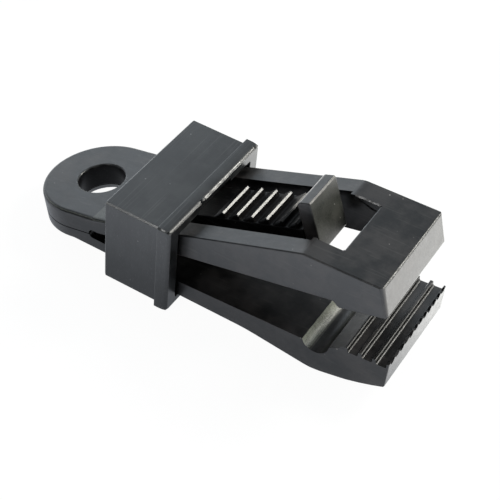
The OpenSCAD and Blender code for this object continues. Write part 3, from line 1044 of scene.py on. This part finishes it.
    def plate_outline(self) -> list[Corner]:
        """Lists the side outline of the upper eye plate with its neck and socket.

        Returns:
            The corners, counter-clockwise.
        """
        rear, pivot = -LAYOUT.half_w - self.spare, LAYOUT.pivot
        low = (self.slot[0] + self.slot_r, self.slot[1] + self.slot_r)
        low_hit = circle_hit(low, (pivot[0], pivot[1] - self.socket_r), pivot, self.barrel_r)
        top_hit = self.neck_end()
        low_at = math.degrees(math.atan2(low_hit[1] - pivot[1], low_hit[0] - pivot[0])) % 360.0
        top_at = math.degrees(math.atan2(top_hit[1] - pivot[1], top_hit[0] - pivot[0]))
        first, last = self.mouth[0] - self.mouth[1], self.mouth[0] + self.mouth[1]
        return ([LAYOUT.on_eye(rear, 0.0)]
                + arc(self.slot, self.slot_r, 180.0 + LAYOUT.eye_tilt, 90.0, 12)
                + [Corner(*low, 0.5)]
                + arc(pivot, self.barrel_r, low_at, 360.0 + first, 16)
                + arc(pivot, self.socket_r, first, last - 360.0, 36)
                + arc(pivot, self.barrel_r, last, top_at, 4)
                + [Corner(*self.crease()), LAYOUT.on_eye(rear, EYE_UPPER_T)])

    def build_plate(self, material: bpy.types.Material) -> None:
        """Builds the upper eye plate.

        Args:
            material: The shell's finish.
        """
        half = LAYOUT.half_w
        axes = LAYOUT.eye_axes()
        plate = Solid.prism(self.plate_outline(), -half - 2.0, half + 2.0)
        plate.combine(self.plan(), Mix.MEET)

        def outer_top(middle: Vector) -> bool:
            """Says whether an edge lies on the outer top edge of the eye."""
            arm = middle - axes.origin
            return middle.x < self.neck_end()[0] and arm.dot(axes.along) > EYE_UPPER_T - 0.3

        plate.soften(self.top_edge, where=outer_top, segments=6)
        plate.combine(self.disc(self.ring_r, -self.ring_depth, 1.0), Mix.JOIN)
        plate.combine(self.disc(LAYOUT.hole_r, -10.0, 10.0), Mix.CUT)

        def hole_top(middle: Vector) -> bool:
            """Says whether an edge lies on the rope hole's top edge."""
            arm = middle - axes.origin
            return arm.dot(axes.along) > EYE_UPPER_T - 0.3 and (arm - axes.along * arm.dot(axes.along)).length < 5.5

        # The hole's top edge is marked strongly for rubbing and painted highlight glints
        plate.soften(self.hole_edge, where=hole_top, segments=4, wear_and_highlight=0.8)
        plate.soften(self.edge, where=lambda m: not self.at_seam(m))
        # Painted shade on the hole's wall, and painted light on the eye's outer rounding and the neck's top
        plate.mark("dull", lambda face: self.hole_shade * self.in_hole(face))
        plate.mark("haze", lambda face: self.rim_painted_light * (
            outer_top(face.calc_center_median()) and (face.calc_center_median() - axes.origin).length > 6.0
            and 0.58 < face.normal.dot(axes.along) < 0.83))
        plate.mark("haze", lambda face: self.neck_painted_light * (
            face.normal.z > 0.9 and face.normal.x < -0.25 and face.calc_center_median().x > self.crease()[0]))
        plate.piece("eye_plate_moulding", material, Body.LOWER_HALF, "upper_eye_plate", Slot.BODY)


@dataclass
class UpperJaw:
    """The upper jaw with its rails, nose, window and ribs, drawn shut about the neck pivot."""

    rail_slope: float = 10.3
    rail_rise: float = 1.78
    under_slope: float = 2.0
    under_drop: float = 1.6
    clear_r: float = 3.36
    bend: float = 37.75
    bend_r: float = 3.5
    nose: float = 53.2
    nose_lean: float = 0.7
    nose_fall: float = 9.0
    window: tuple[float, float] = (37.25, 43.3)
    window_w: float = 13.9
    channel_w: float = 15.6
    channel: float = 7.65
    ledge_t: float = 1.8
    pad_ramp: float = 0.9
    pad_r: float = 0.8
    tip_r: float = 0.7
    pad: Point = (54.2, -0.337)
    pad_slope: float = 5.5
    root_socket: float = 1.46
    root_half: float = 5.3
    knuckle_r: float = 1.9
    web_t: float = 2.375
    web_reach: float = 4.26
    rib_r: float = 0.75
    ribs: Point = (50.75, 47.95)
    rib_inset: float = 1.2
    side_edge: float = 0.32
    nose_edge: float = 0.5
    nose_corner: float = 1.0
    # Painted shade on the nose's top, rubbing with painted highlight on faces turned up and forward, and painted
    # highlight lines on the window's rim
    nose_shade: float = 0.3
    front_wear_and_highlight: float = 0.6
    rim_highlight: float = 1.5
    rim_edge: Point = (0.38, 0.24)
    edge: float = 0.2

    def rail_top(self, u: float) -> float:
        """Gives the height of the rails' tops."""
        slope = math.radians(self.rail_slope)
        return self.rail_rise / math.cos(slope) + u * math.tan(slope)

    def nose_top(self, u: float) -> float:
        """Gives the height of the nose's top."""
        return self.rail_top(self.bend) - (u - self.bend) * math.tan(math.radians(self.nose_fall))

    def under(self, u: float) -> float:
        """Gives the height of the rails' undersides."""
        return -self.under_drop + u * math.tan(math.radians(self.under_slope))

    def pad_at(self, u: float) -> float:
        """Gives the height of the biting pad."""
        return self.pad[1] + (u - self.pad[0]) * math.tan(math.radians(self.pad_slope))

    def opened(self, corners: Sequence[Corner]) -> list[Corner]:
        """Turns corners drawn shut to the open jaw."""
        return turned(corners, LAYOUT.open_angle, LAYOUT.pivot)

    def block(self, corners: Sequence[Corner], width: float) -> Solid:
        """Builds a plain block across the jaw from corners drawn shut."""
        return Solid.prism(self.opened(corners), -width / 2, width / 2)

    def outline(self) -> list[Corner]:
        """Lists the side outline of the jaw, drawn shut.

        Returns:
            The corners, counter-clockwise.
        """
        tip = self.nose + self.nose_lean
        window_end = self.window[1]
        top = circle_hit((self.bend, self.rail_top(self.bend)), (0.0, self.rail_top(0.0)), (0.0, 0.0), self.clear_r)
        low = circle_hit((self.bend, self.under(self.bend)), (0.0, self.under(0.0)), (0.0, 0.0), self.clear_r)
        top_at, low_at = (math.degrees(math.atan2(hit[1], hit[0])) for hit in (top, low))
        return ([Corner(window_end, self.under(window_end), self.pad_r),
                 Corner(window_end + self.pad_ramp, self.pad_at(window_end + self.pad_ramp), self.pad_r),
                 Corner(tip, self.pad_at(tip), self.tip_r),
                 Corner(self.nose, self.nose_top(self.nose), self.nose_edge),
                 Corner(self.bend, self.rail_top(self.bend), self.bend_r)]
                + arc((0.0, 0.0), self.clear_r, top_at, low_at, 8))

    def knuckle(self) -> Solid:
        """Builds the knuckle that turns in the neck's socket, with its web.

        Returns:
            The knuckle.
        """
        lean = (self.rail_slope + self.under_slope) / 2
        open_at = math.degrees(math.asin(self.web_t / 2 / self.knuckle_r))
        outline = ([Corner(self.web_reach, -self.web_t / 2), Corner(self.web_reach, self.web_t / 2)]
                   + arc((0.0, 0.0), self.knuckle_r, open_at, 360.0 - open_at, 24))
        half = LAYOUT.half_w - 0.25
        return Solid.prism(self.opened(turned(outline, lean, (0.0, 0.0))), -half, half, edge_r=0.2)

    def nose_plan(self) -> Solid:
        """Builds the block, square to the nose's front, that rounds the front's upright edges.

        Returns:
            The block.
        """
        tip = self.nose + self.nose_lean
        high, low = (Vector((c.a, 0.0, c.b)) for c in self.opened(
            [Corner(self.nose, self.nose_top(self.nose)), Corner(tip, self.pad_at(tip))]))
        down = (low - high).normalized()
        axes = Axes(high, Vector((-down.z, 0.0, down.x)), Vector((0, 1, 0)), down)
        front, side = 0.02, LAYOUT.half_w + 0.02
        return Solid.prism([Corner(-80.0, -side), Corner(front, -side, self.nose_corner),
                            Corner(front, side, self.nose_corner), Corner(-80.0, side)], -40.0, 40.0, axes)

    def build(self, material: bpy.types.Material) -> None:
        """Builds the upper jaw.

        Args:
            material: The shell's finish.
        """
        half = LAYOUT.half_w
        start, end = self.window
        low, high = -9.0, self.rail_top(self.bend) + 1.0
        jaw = Solid.prism(self.opened(self.outline()), -half, half, edge_r=self.side_edge)
        jaw.combine(self.nose_plan(), Mix.MEET)
        jaw.combine(self.block([Corner(self.channel, low), Corner(start, low), Corner(start, high),
                                Corner(self.channel, high)], self.channel_w), Mix.CUT)
        jaw.combine(self.block([Corner(start - 1.0, low), Corner(end, low), Corner(end, high),
                                Corner(start - 1.0, high)], self.window_w), Mix.CUT)
        jaw.combine(self.block([Corner(start - 1.0, low), Corner(end, low),
                                Corner(end, self.nose_top(end) - self.ledge_t),
                                Corner(self.bend, self.rail_top(self.bend) - self.ledge_t),
                                Corner(start - 1.0, self.rail_top(self.bend) - self.ledge_t)],
                               self.channel_w), Mix.CUT)
        socket = ring(LAYOUT.root, self.root_socket, 40)
        jaw.combine(Solid.prism(socket, -self.root_half, self.root_half), Mix.CUT)
        jaw.combine(self.knuckle(), Mix.JOIN)
        for bar in self.rim_bars():
            jaw.combine(bar, Mix.CUT)
        jaw.soften(self.edge)
        # Rubbing with painted highlight on faces turned up and forward, painted highlight lines on the window's rim
        # and painted shade on the nose's top
        jaw.mark("edge", lambda face: self.front_wear_and_highlight * (face.normal.x > 0.3 and face.normal.z > 0.3))
        jaw.mark("edge", lambda face: self.rim_highlight * (
            self.at_window(face.calc_center_median()) and 0.4 < face.normal.z < 0.9))
        jaw.mark("dull", lambda face: self.nose_shade * (face.normal.z > 0.95 and abs(face.normal.x) < 0.12))
        jaw.add(self.rib_row())
        jaw.piece("upper_jaw_moulding", material, Body.UPPER_HALF, "upper_jaw", Slot.BODY)

    def rim_bars(self) -> list[Solid]:
        """Builds the bars that chamfer the window's rim: one on each side and one at the front.

        Returns:
            The cutters.
        """
        end = self.window[1]
        top = self.nose_top(end)
        wide, r = self.rim_edge
        bars = [self.block([Corner(end - 1.5, top), Corner(end, top - 0.6 * wide),
                            Corner(end + 1.15 * wide, top + 0.02), Corner(end, top + 2.0)], self.window_w)]
        rim = self.opened([Corner(u, self.nose_top(u)) for u in (self.bend + 0.4, end - 0.1)])
        for side in (-self.window_w / 2, self.window_w / 2):
            bars.append(Solid.loft([[Vector((c.a, side - r, c.b)), Vector((c.a, side, c.b - r)),
                                     Vector((c.a, side + r, c.b)), Vector((c.a, side, c.b + r))] for c in rim]))
        return bars

    def at_window(self, middle: Vector) -> bool:
        """Says whether a place lies on the window's upper rim.

        Args:
            middle: The place.

        Returns:
            True on the rim.
        """
        open_place = Corner(middle.x - LAYOUT.pivot[0], middle.z - LAYOUT.pivot[1])
        shut = turned([open_place], -LAYOUT.open_angle, (0.0, 0.0))[0]
        return (self.window[0] - 0.2 < shut.a < self.window[1] + 0.4 and abs(middle.y) < self.window_w / 2 + 0.3
                and shut.b > self.nose_top(shut.a) - 0.5)

    def rib_row(self) -> Solid:
        """Builds the ribs under the nose that press into the grip grooves.

        Returns:
            The ribs.
        """
        half = LAYOUT.half_w - self.rib_inset
        bead = ring((0.0, 0.0), self.rib_r, 24)
        places = self.opened([Corner(u, self.pad_at(u)) for u in self.ribs])
        first, second = (Vector((place.a, 0.0, place.b)) for place in places)
        return Solid.prism(bead, -half, half, edge_r=0.4).row(2, first, second - first)


@dataclass
class RatchetTongue:
    """The ratchet tongue and its release tab, drawn along the rails from the neck pivot."""

    tilt: float = 21.3
    root: Point = (6.911, -0.393)
    root_r: float = 1.4
    web_t: float = 1.75
    web_end: float = 9.91
    web_step: float = 0.45
    top: float = 1.48
    thick: float = 2.4
    width: float = 10.0
    tooth_count: int = 6
    tooth_pitch: float = 3.22
    tooth_last: float = 33.35
    tooth_run: float = 2.17
    tooth_flat: Point = (0.32, 0.4)
    tooth_crest: float = 2.63
    tooth_w: float = 9.7
    tab_p: float = 34.7
    tab_t: float = 2.8
    tab_top: float = 7.17
    tab_len: float = 10.7
    tab_w: float = 9.6
    tab_bevel: float = 0.3
    tab_round: float = 0.9
    fillet_r: float = 0.8
    fillet_run: float = 0.82
    fillet_sunk: float = 0.5
    # Painted light and painted shade on the tab's front, and painted highlights on the teeth's crests, weaker beside
    # the tab where its shadow falls
    tab_painted_light: float = 0.055
    tab_shade: float = 0.6
    crest_highlight_mark: float = 8.0
    highlight_share: Point = (0.65, 0.05)

    def laid(self, corners: Sequence[Corner]) -> list[Corner]:
        """Turns corners drawn along the rails to the open jaw."""
        return turned(corners, self.tilt, LAYOUT.pivot)

    def strip(self) -> Solid:
        """Builds the tongue's strip with its knuckle and web.

        Returns:
            The strip.
        """
        q, half_web = self.root[1], self.web_t / 2
        step = self.web_end + self.web_step
        open_at = math.degrees(math.asin(half_web / self.root_r))
        bottom = self.top - self.thick
        outline = (arc(self.root, self.root_r, open_at, 360.0 - open_at, 20)
                   + [Corner(step, q - half_web, 0.2), Corner(step, bottom, 0.2),
                      Corner(self.tab_p, bottom), Corner(self.tab_p, self.top),
                      Corner(self.web_end, self.top, 0.5), Corner(self.web_end, q + half_web, 0.4)])
        return Solid.prism(self.laid(outline), -self.width / 2, self.width / 2, edge_r=0.25)

    def teeth(self) -> Solid:
        """Builds the row of ratchet teeth.

        Returns:
            The teeth.
        """
        tilt = math.radians(self.tilt)
        along = Vector((math.cos(tilt), 0.0, math.sin(tilt)))
        up = Vector((-math.sin(tilt), 0.0, math.cos(tilt)))
        foot, sunk = self.top - self.tooth_crest, self.top - self.tooth_crest - 1.0
        wedge = turned([Corner(-self.tooth_run - 0.6, sunk), Corner(self.tooth_flat[0] + 0.1, sunk),
                        Corner(self.tooth_flat[0], -self.tooth_flat[1], 0.08), Corner(0.0, 0.0, 0.08),
                        Corner(-self.tooth_run, foot, 0.8)], self.tilt, (0.0, 0.0))
        first = (Vector((LAYOUT.pivot[0], 0.0, LAYOUT.pivot[1])) + along * self.tooth_last + up * self.tooth_crest)
        half = self.tooth_w / 2
        return Solid.prism(wedge, -half, half, edge_r=0.42).row(self.tooth_count, first, -along * self.tooth_pitch)

    def crest(self, face: bmesh.types.BMFace) -> float:
        """Gives the painted highlight of a face on the flats at the teeth's crests.

        Args:
            face: The face.

        Returns:
            The painted highlight: less for the teeth beside the tab, which get painted shade for its shadow, and none
                off the crests.
        """
        tilt = math.radians(self.tilt)
        lean = tilt + math.atan2(self.tooth_flat[0], self.tooth_flat[1])
        if face.normal.dot(Vector((math.cos(lean), 0.0, math.sin(lean)))) <= 0.95:
            return 0.0
        arm = face.calc_center_median() - Vector((LAYOUT.pivot[0], 0.0, LAYOUT.pivot[1]))
        reach = arm.dot(Vector((math.cos(tilt), 0.0, math.sin(tilt))))
        return self.highlight_share[reach >= self.tooth_last - 1.5 * self.tooth_pitch]

    def tab_outline(self) -> list[Corner]:
        """Lists the side outline of the release tab with the fillet at its foot.

        Returns:
            The corners, counter-clockwise.
        """
        back, front, top = self.tab_p, self.tab_p + self.tab_t, self.tab_top
        low = top - self.tab_len
        return [Corner(back, low, 0.4), Corner(front, low, 0.4), Corner(front, top - self.tab_bevel, 0.1),
                Corner(front - self.tab_bevel, top, 0.1), Corner(back, top, self.tab_round),
                Corner(back, self.top, self.fillet_r), Corner(back - self.fillet_run, self.top - 0.02),
                Corner(back - self.fillet_run, self.top - self.fillet_sunk),
                Corner(back, self.top - self.fillet_sunk)]

    def build(self, material: bpy.types.Material) -> None:
        """Builds the tongue and the tab.

        Args:
            material: The shell's finish.
        """
        tongue = self.strip().add(self.teeth())
        # Painted highlights on the crests' flats, and painted shade on the rest of the tongue, deepest on the teeth
        # beside the tab
        tongue.mark("edge", lambda face: self.crest_highlight_mark * (self.crest(face) > 0.0))
        tongue.mark("dull", lambda face: 1.0 - self.crest(face))
        tongue.piece("tongue_moulding", material, Body.TONGUE, "ratchet_tongue", Slot.BODY)
        tab = Solid.prism(self.laid(self.tab_outline()), -self.tab_w / 2, self.tab_w / 2, edge_r=0.3)
        # Painted light and painted shade on the tab's front
        tab.mark("haze", lambda face: self.tab_painted_light * (face.normal.x > 0.8))
        tab.mark("dull", lambda face: self.tab_shade * (face.normal.x > 0.8))
        tab.piece("release_tab_moulding", material, Body.TONGUE, "release_tab", Slot.BODY)


@dataclass
class LockingCollar:
    """The sliding collar: a square tube with a raised rim at its front."""

    rim_len: float = 2.8
    rim_proud: float = 0.7
    chamfer: float = 0.33
    corner_r: float = 0.12
    corner_step: float = 20.0
    floor_t: float = 1.0
    inside_half: float = 12.6
    inside_top: float = 18.252
    teeth_half: float = 5.3
    teeth_top: float = 19.135
    burrs: tuple[Point, ...] = ((-4.35, 1.0), (14.7, 0.8))
    burr_half: tuple[float, float, float] = (0.45, 0.75, 0.5)
    burr_sunk: Point = (0.28, 0.34)
    # Rubbing with painted highlight on the rim's front edge, more on the far side, and painted highlight lines on the
    # chamfered corners
    rub_from: float = -3.6
    rub_and_highlight: Point = (0.1, 1.0)
    corner_highlight: float = 8.0
    edge: float = 0.22

    def loop(self, x: float, grow: float) -> list[Vector]:
        """Gives the collar's outer loop at a place along it.

        Args:
            x: The place along the collar.
            grow: How far the loop stands out from the tube.

        Returns:
            The loop's points.
        """
        low, high = LAYOUT.collar_low, LAYOUT.collar_high
        half = high.y - self.rim_proud + grow
        bottom, top = low.z + self.rim_proud - grow, high.z - self.rim_proud + grow
        c = self.chamfer
        square = ((-half, bottom + c), (c - half, bottom), (half - c, bottom), (half, bottom + c),
                  (half, top - c), (half - c, top), (c - half, top), (-half, top - c))
        corners = [Corner(y, z, self.corner_r) for y, z in square]
        return [Vector((x, y, z)) for y, z in rounded(corners, self.corner_step)]

    def shell(self) -> Solid:
        """Builds the collar's outside with both rounded ends and the rim.

        Returns:
            The outside, closed at both ends.
        """
        length = LAYOUT.collar_high.x - LAYOUT.collar_low.x
        c, rim, back = self.chamfer, self.rim_proud, -self.rim_len
        path = [(-length, -c), (0.06 - length, -0.06 - c / 2), (c - length, 0.0), (c + 0.2 - length, 0.0),
                (back - 0.1, 0.0), (back, 0.0), (back, 0.1), (back, rim - 0.14), (back + 0.03, rim - 0.04),
                (back + 0.12, rim), (-1.8, rim), (-1.2, rim - 0.02), (-0.7, rim - 0.07), (-c, rim - 0.13),
                (-0.06, rim - 0.1 - c), (0.0, rim - 0.16 - c)]
        return Solid.loft([self.loop(x, grow) for x, grow in path])

    def burr(self, y: float, size: float) -> Solid:
        """Builds a small moulding burr on the rim's front top edge.

        Args:
            y: The burr's place across the collar.
            size: The burr's size against the larger of the two.

        Returns:
            The burr.
        """
        bm = bmesh.new()
        bmesh.ops.create_icosphere(bm, subdivisions=3, radius=1.0)
        middle = (-self.burr_sunk[0], y, LAYOUT.collar_high.z - self.burr_sunk[1])
        for vert in bm.verts:
            lump = 1.0 + 0.12 * math.sin(5.0 * vert.co.x + 2.0) * math.cos(4.0 * vert.co.y)
            vert.co = Vector([at + half * size * arm * lump
                              for at, half, arm in zip(middle, self.burr_half, vert.co)])
        return Solid(bm)

    def opening(self) -> Solid:
        """Builds the cutter of the passage for the jaws and the teeth.

        Returns:
            The cutter.
        """
        floor = self.rim_proud + self.floor_t
        half, top = self.inside_half, self.inside_top
        outline = [Corner(-half, floor, 0.4), Corner(half, floor, 0.4), Corner(half, top, 0.4),
                   Corner(self.teeth_half, top), Corner(self.teeth_half, self.teeth_top, 0.25),
                   Corner(-self.teeth_half, self.teeth_top, 0.25), Corner(-self.teeth_half, top),
                   Corner(-half, top, 0.4)]
        return Solid.prism(outline, -30.0, 10.0, FRONT)

    def wear_and_highlight(self, face: bmesh.types.BMFace) -> float:
        """Gives the edge mark of the chamfers, which paints rubbing and highlight lines; the rim's front edge is
        rubbed most on the far side.

        Args:
            face: The face.

        Returns:
            The mark, from 0 upwards.
        """
        middle = face.calc_center_median()
        slanted = sum(abs(n) > 0.35 for n in face.normal) > 1
        front = self.rub_and_highlight[middle.y >= self.rub_from]
        return slanted * (front if middle.x > -0.8 else self.corner_highlight)

    def build(self, material: bpy.types.Material) -> None:
        """Builds the collar.

        Args:
            material: The collar's finish.
        """
        collar = self.shell()
        collar.combine(self.opening(), Mix.CUT)
        inner = self.inside_half + 0.1
        collar.soften(self.edge, where=lambda m: abs(m.y) < inner and 1.5 < m.z < self.teeth_top + 0.1, wear_and_highlight=0.1)
        # Split where the rim's rubbing changes, then paint rubbing and highlight lines on the chamfers
        collar.split(Vector((0.0, self.rub_from, 0.0)), Vector((0.0, 1.0, 0.0)))
        collar.mark("edge", self.wear_and_highlight)
        for y, size in self.burrs:
            collar.add(self.burr(y, size))
        collar.piece("collar_moulding", material, Body.COLLAR, "locking_collar", Slot.COLLAR)


@dataclass(frozen=True)
class Lamp:
    """A soft box: a rectangular lamp that shines on the clip."""

    name: str
    place: tuple[float, float, float]
    aim: tuple[float, float, float]
    size: tuple[float, float]
    radiance: float
    colour: tuple[float, float, float] = (1.0, 1.0, 1.0)

    def build(self) -> None:
        """Builds the lamp."""
        data = bpy.data.lights.new(self.name, "AREA")
        data.shape = "RECTANGLE"
        data.size, data.size_y = self.size
        data.energy = self.radiance * math.pi * self.size[0] * self.size[1]
        data.color = self.colour
        lamp = bpy.data.objects.new(self.name, data)
        way = Vector(self.aim) - Vector(self.place)
        lamp.matrix_world = Matrix.Translation(self.place) @ way.to_track_quat("-Z", "Y").to_matrix().to_4x4()
        bpy.context.scene.collection.objects.link(lamp)


@dataclass(frozen=True)
class Studio:
    """The floor, the room's light and the camera at the photograph's place."""

    camera_mm: tuple[float, float, float] = (86.01, -160.938, 185.088)
    azimuth: float = 26.631
    elevation: float = 44.35
    roll: float = 6.539
    focal_px: float = 1320.24
    image_px: float = 500.0
    sensor_mm: float = 36.0
    near_clip: float = 0.005
    floor_half: float = 3.0
    floor_glow: float = 0.96
    far_glow: float = 3.05
    near_glow: Point = (1.5, 0.66)
    room_glow: Point = (0.06, 0.84)
    left_glow: float = 1.2
    cool: Colour = (0.9, 0.985, 1.06, 1.0)
    white: Colour = (1.0, 1.0, 1.0, 1.0)
    paper: Colour = (0.85, 0.85, 0.85, 1.0)
    shadow: Colour = (0.055, 0.055, 0.055, 1.0)
    mirror: Colour = (0.3, 0.31, 0.33, 1.0)
    far_tint: Colour = (1.0, 0.98, 0.92, 1.0)
    near_tint: Colour = (0.93, 0.98, 1.06, 1.0)
    lamps: tuple[Lamp, ...] = (
        Lamp("key_box", (0.27, 0.4, 0.43), (0.0, 0.0, 0.015), (0.17, 0.17), 26.0, (1.0, 0.97, 0.89)),
        Lamp("side_box", (0.39, 0.275, 0.21), (0.0, 0.0, 0.01), (0.18, 0.09), 17.0, (1.0, 0.98, 0.89)),
        Lamp("back_box", (-0.4, 0.43, 0.37), (0.0, 0.0, 0.015), (0.3, 0.26), 1.5, (0.9, 0.985, 1.06)),
        Lamp("front_box", (-0.19, -0.395, 0.405), (0.0, 0.0, 0.01), (0.12, 0.12), 9.0),
    )

    def build_camera(self) -> None:
        """Builds the camera."""
        data = bpy.data.cameras.new("photo_camera")
        data.sensor_width = self.sensor_mm
        data.lens = self.sensor_mm * self.focal_px / self.image_px
        data.clip_start = self.near_clip
        camera = bpy.data.objects.new("photo_camera", data)
        turn = (Matrix.Rotation(math.radians(self.azimuth), 4, "Z")
                @ Matrix.Rotation(math.radians(90.0 - self.elevation), 4, "X")
                @ Matrix.Rotation(math.radians(self.roll), 4, "Z"))
        camera.matrix_world = Matrix.Translation(Vector(self.camera_mm) * MM) @ turn
        bpy.context.scene.collection.objects.link(camera)
        bpy.context.scene.camera = camera

    def build_floor(self) -> None:
        """Builds the pale floor, which keeps a faint shadow."""
        bm = bmesh.new()
        bmesh.ops.create_grid(bm, x_segments=4, y_segments=4, size=self.floor_half)
        mesh = bpy.data.meshes.new("floor")
        bm.to_mesh(mesh)
        bm.free()
        floor = bpy.data.objects.new("floor", mesh)
        bpy.context.scene.collection.objects.link(floor)
        material = bpy.data.materials.new("floor_paper")
        material.use_nodes = True
        graph = Graph(material.node_tree)
        # The camera sees glowing white paper with a faint shadow
        path = graph.node("ShaderNodeLightPath").outputs
        paper = graph.node("ShaderNodeBsdfDiffuse", {"Color": self.paper})
        glow = graph.node("ShaderNodeEmission", {"Color": self.white, "Strength": self.floor_glow})
        shade = graph.node("ShaderNodeBsdfDiffuse", {"Color": self.shadow})
        seen = graph.node("ShaderNodeAddShader", {0: glow.outputs[0], 1: shade.outputs[0]})
        # The clip's skin mirrors a warm glow behind it and a cool one on the near side, which dims close to the clip
        # as a painted shadow
        spot = graph.node("ShaderNodeSeparateXYZ", {0: graph.node("ShaderNodeTexCoord").outputs["Object"]}).outputs
        way = graph.math("ADD", graph.math("MULTIPLY", spot["X"], 0.5), graph.math("MULTIPLY", spot["Y"], 0.87))
        near = graph.span(spot["Y"], -0.036, -0.02, *self.near_glow)
        far = graph.span(way, 0.0, 0.055, 0.0, self.far_glow)
        warm = graph.node("ShaderNodeEmission", {"Color": self.far_tint, "Strength": far})
        cool = graph.node("ShaderNodeEmission", {"Color": self.near_tint, "Strength": near})
        lit = graph.node("ShaderNodeAddShader", {0: warm.outputs[0], 1: cool.outputs[0]})
        grey = graph.node("ShaderNodeBsdfDiffuse", {"Color": self.mirror})
        sheen = graph.node("ShaderNodeAddShader", {0: grey.outputs[0], 1: lit.outputs[0]})
        mirrored = graph.node("ShaderNodeMixShader", {0: path["Is Glossy Ray"], 1: paper.outputs[0],
                                                      2: sheen.outputs[0]})
        both = graph.node("ShaderNodeMixShader", {0: path["Is Camera Ray"], 1: mirrored.outputs[0],
                                                  2: seen.outputs[0]})
        graph.node("ShaderNodeOutputMaterial", {"Surface": both.outputs[0]})
        mesh.materials.append(material)

    def build_room(self) -> None:
        """Builds the room: white to the camera, bright behind the clip and dim on the camera's side."""
        world = bpy.data.worlds.new("room")
        bpy.context.scene.world = world
        world.use_nodes = True
        graph = Graph(world.node_tree)
        path = graph.node("ShaderNodeLightPath").outputs
        way = graph.node("ShaderNodeSeparateXYZ", {0: graph.node("ShaderNodeTexCoord").outputs["Generated"]}).outputs
        left = graph.math("ADD", 1.0, graph.span(way["X"], -0.62, -0.85, 0.0, self.left_glow))
        behind = graph.math("MULTIPLY", graph.span(way["Y"], -0.35, 0.5, *self.room_glow), left)
        room = graph.node("ShaderNodeBackground", {"Color": self.cool, "Strength": behind})
        white = graph.node("ShaderNodeBackground", {"Color": self.white, "Strength": 1.0})
        both = graph.node("ShaderNodeMixShader", {0: path["Is Camera Ray"], 1: room.outputs[0], 2: white.outputs[0]})
        graph.node("ShaderNodeOutputWorld", {"Surface": both.outputs[0]})

    def build(self) -> None:
        """Builds the whole studio."""
        self.build_camera()
        self.build_floor()
        self.build_room()
        for lamp in self.lamps:
            lamp.build()
        bpy.context.scene.view_settings.view_transform = "Standard"


def main() -> None:
    """Builds every piece of the clip and the studio."""
    logging.basicConfig(level=logging.INFO)
    Studio().build()
    shell, collar = SHELL.build(), COLLAR_SKIN.build()
    lower = LowerHalf()
    lower.build_jaw(shell)
    lower.build_plate(shell)
    UpperJaw().build(shell)
    RatchetTongue().build(shell)
    LockingCollar().build(collar)


if __name__ == "__main__":
    main()
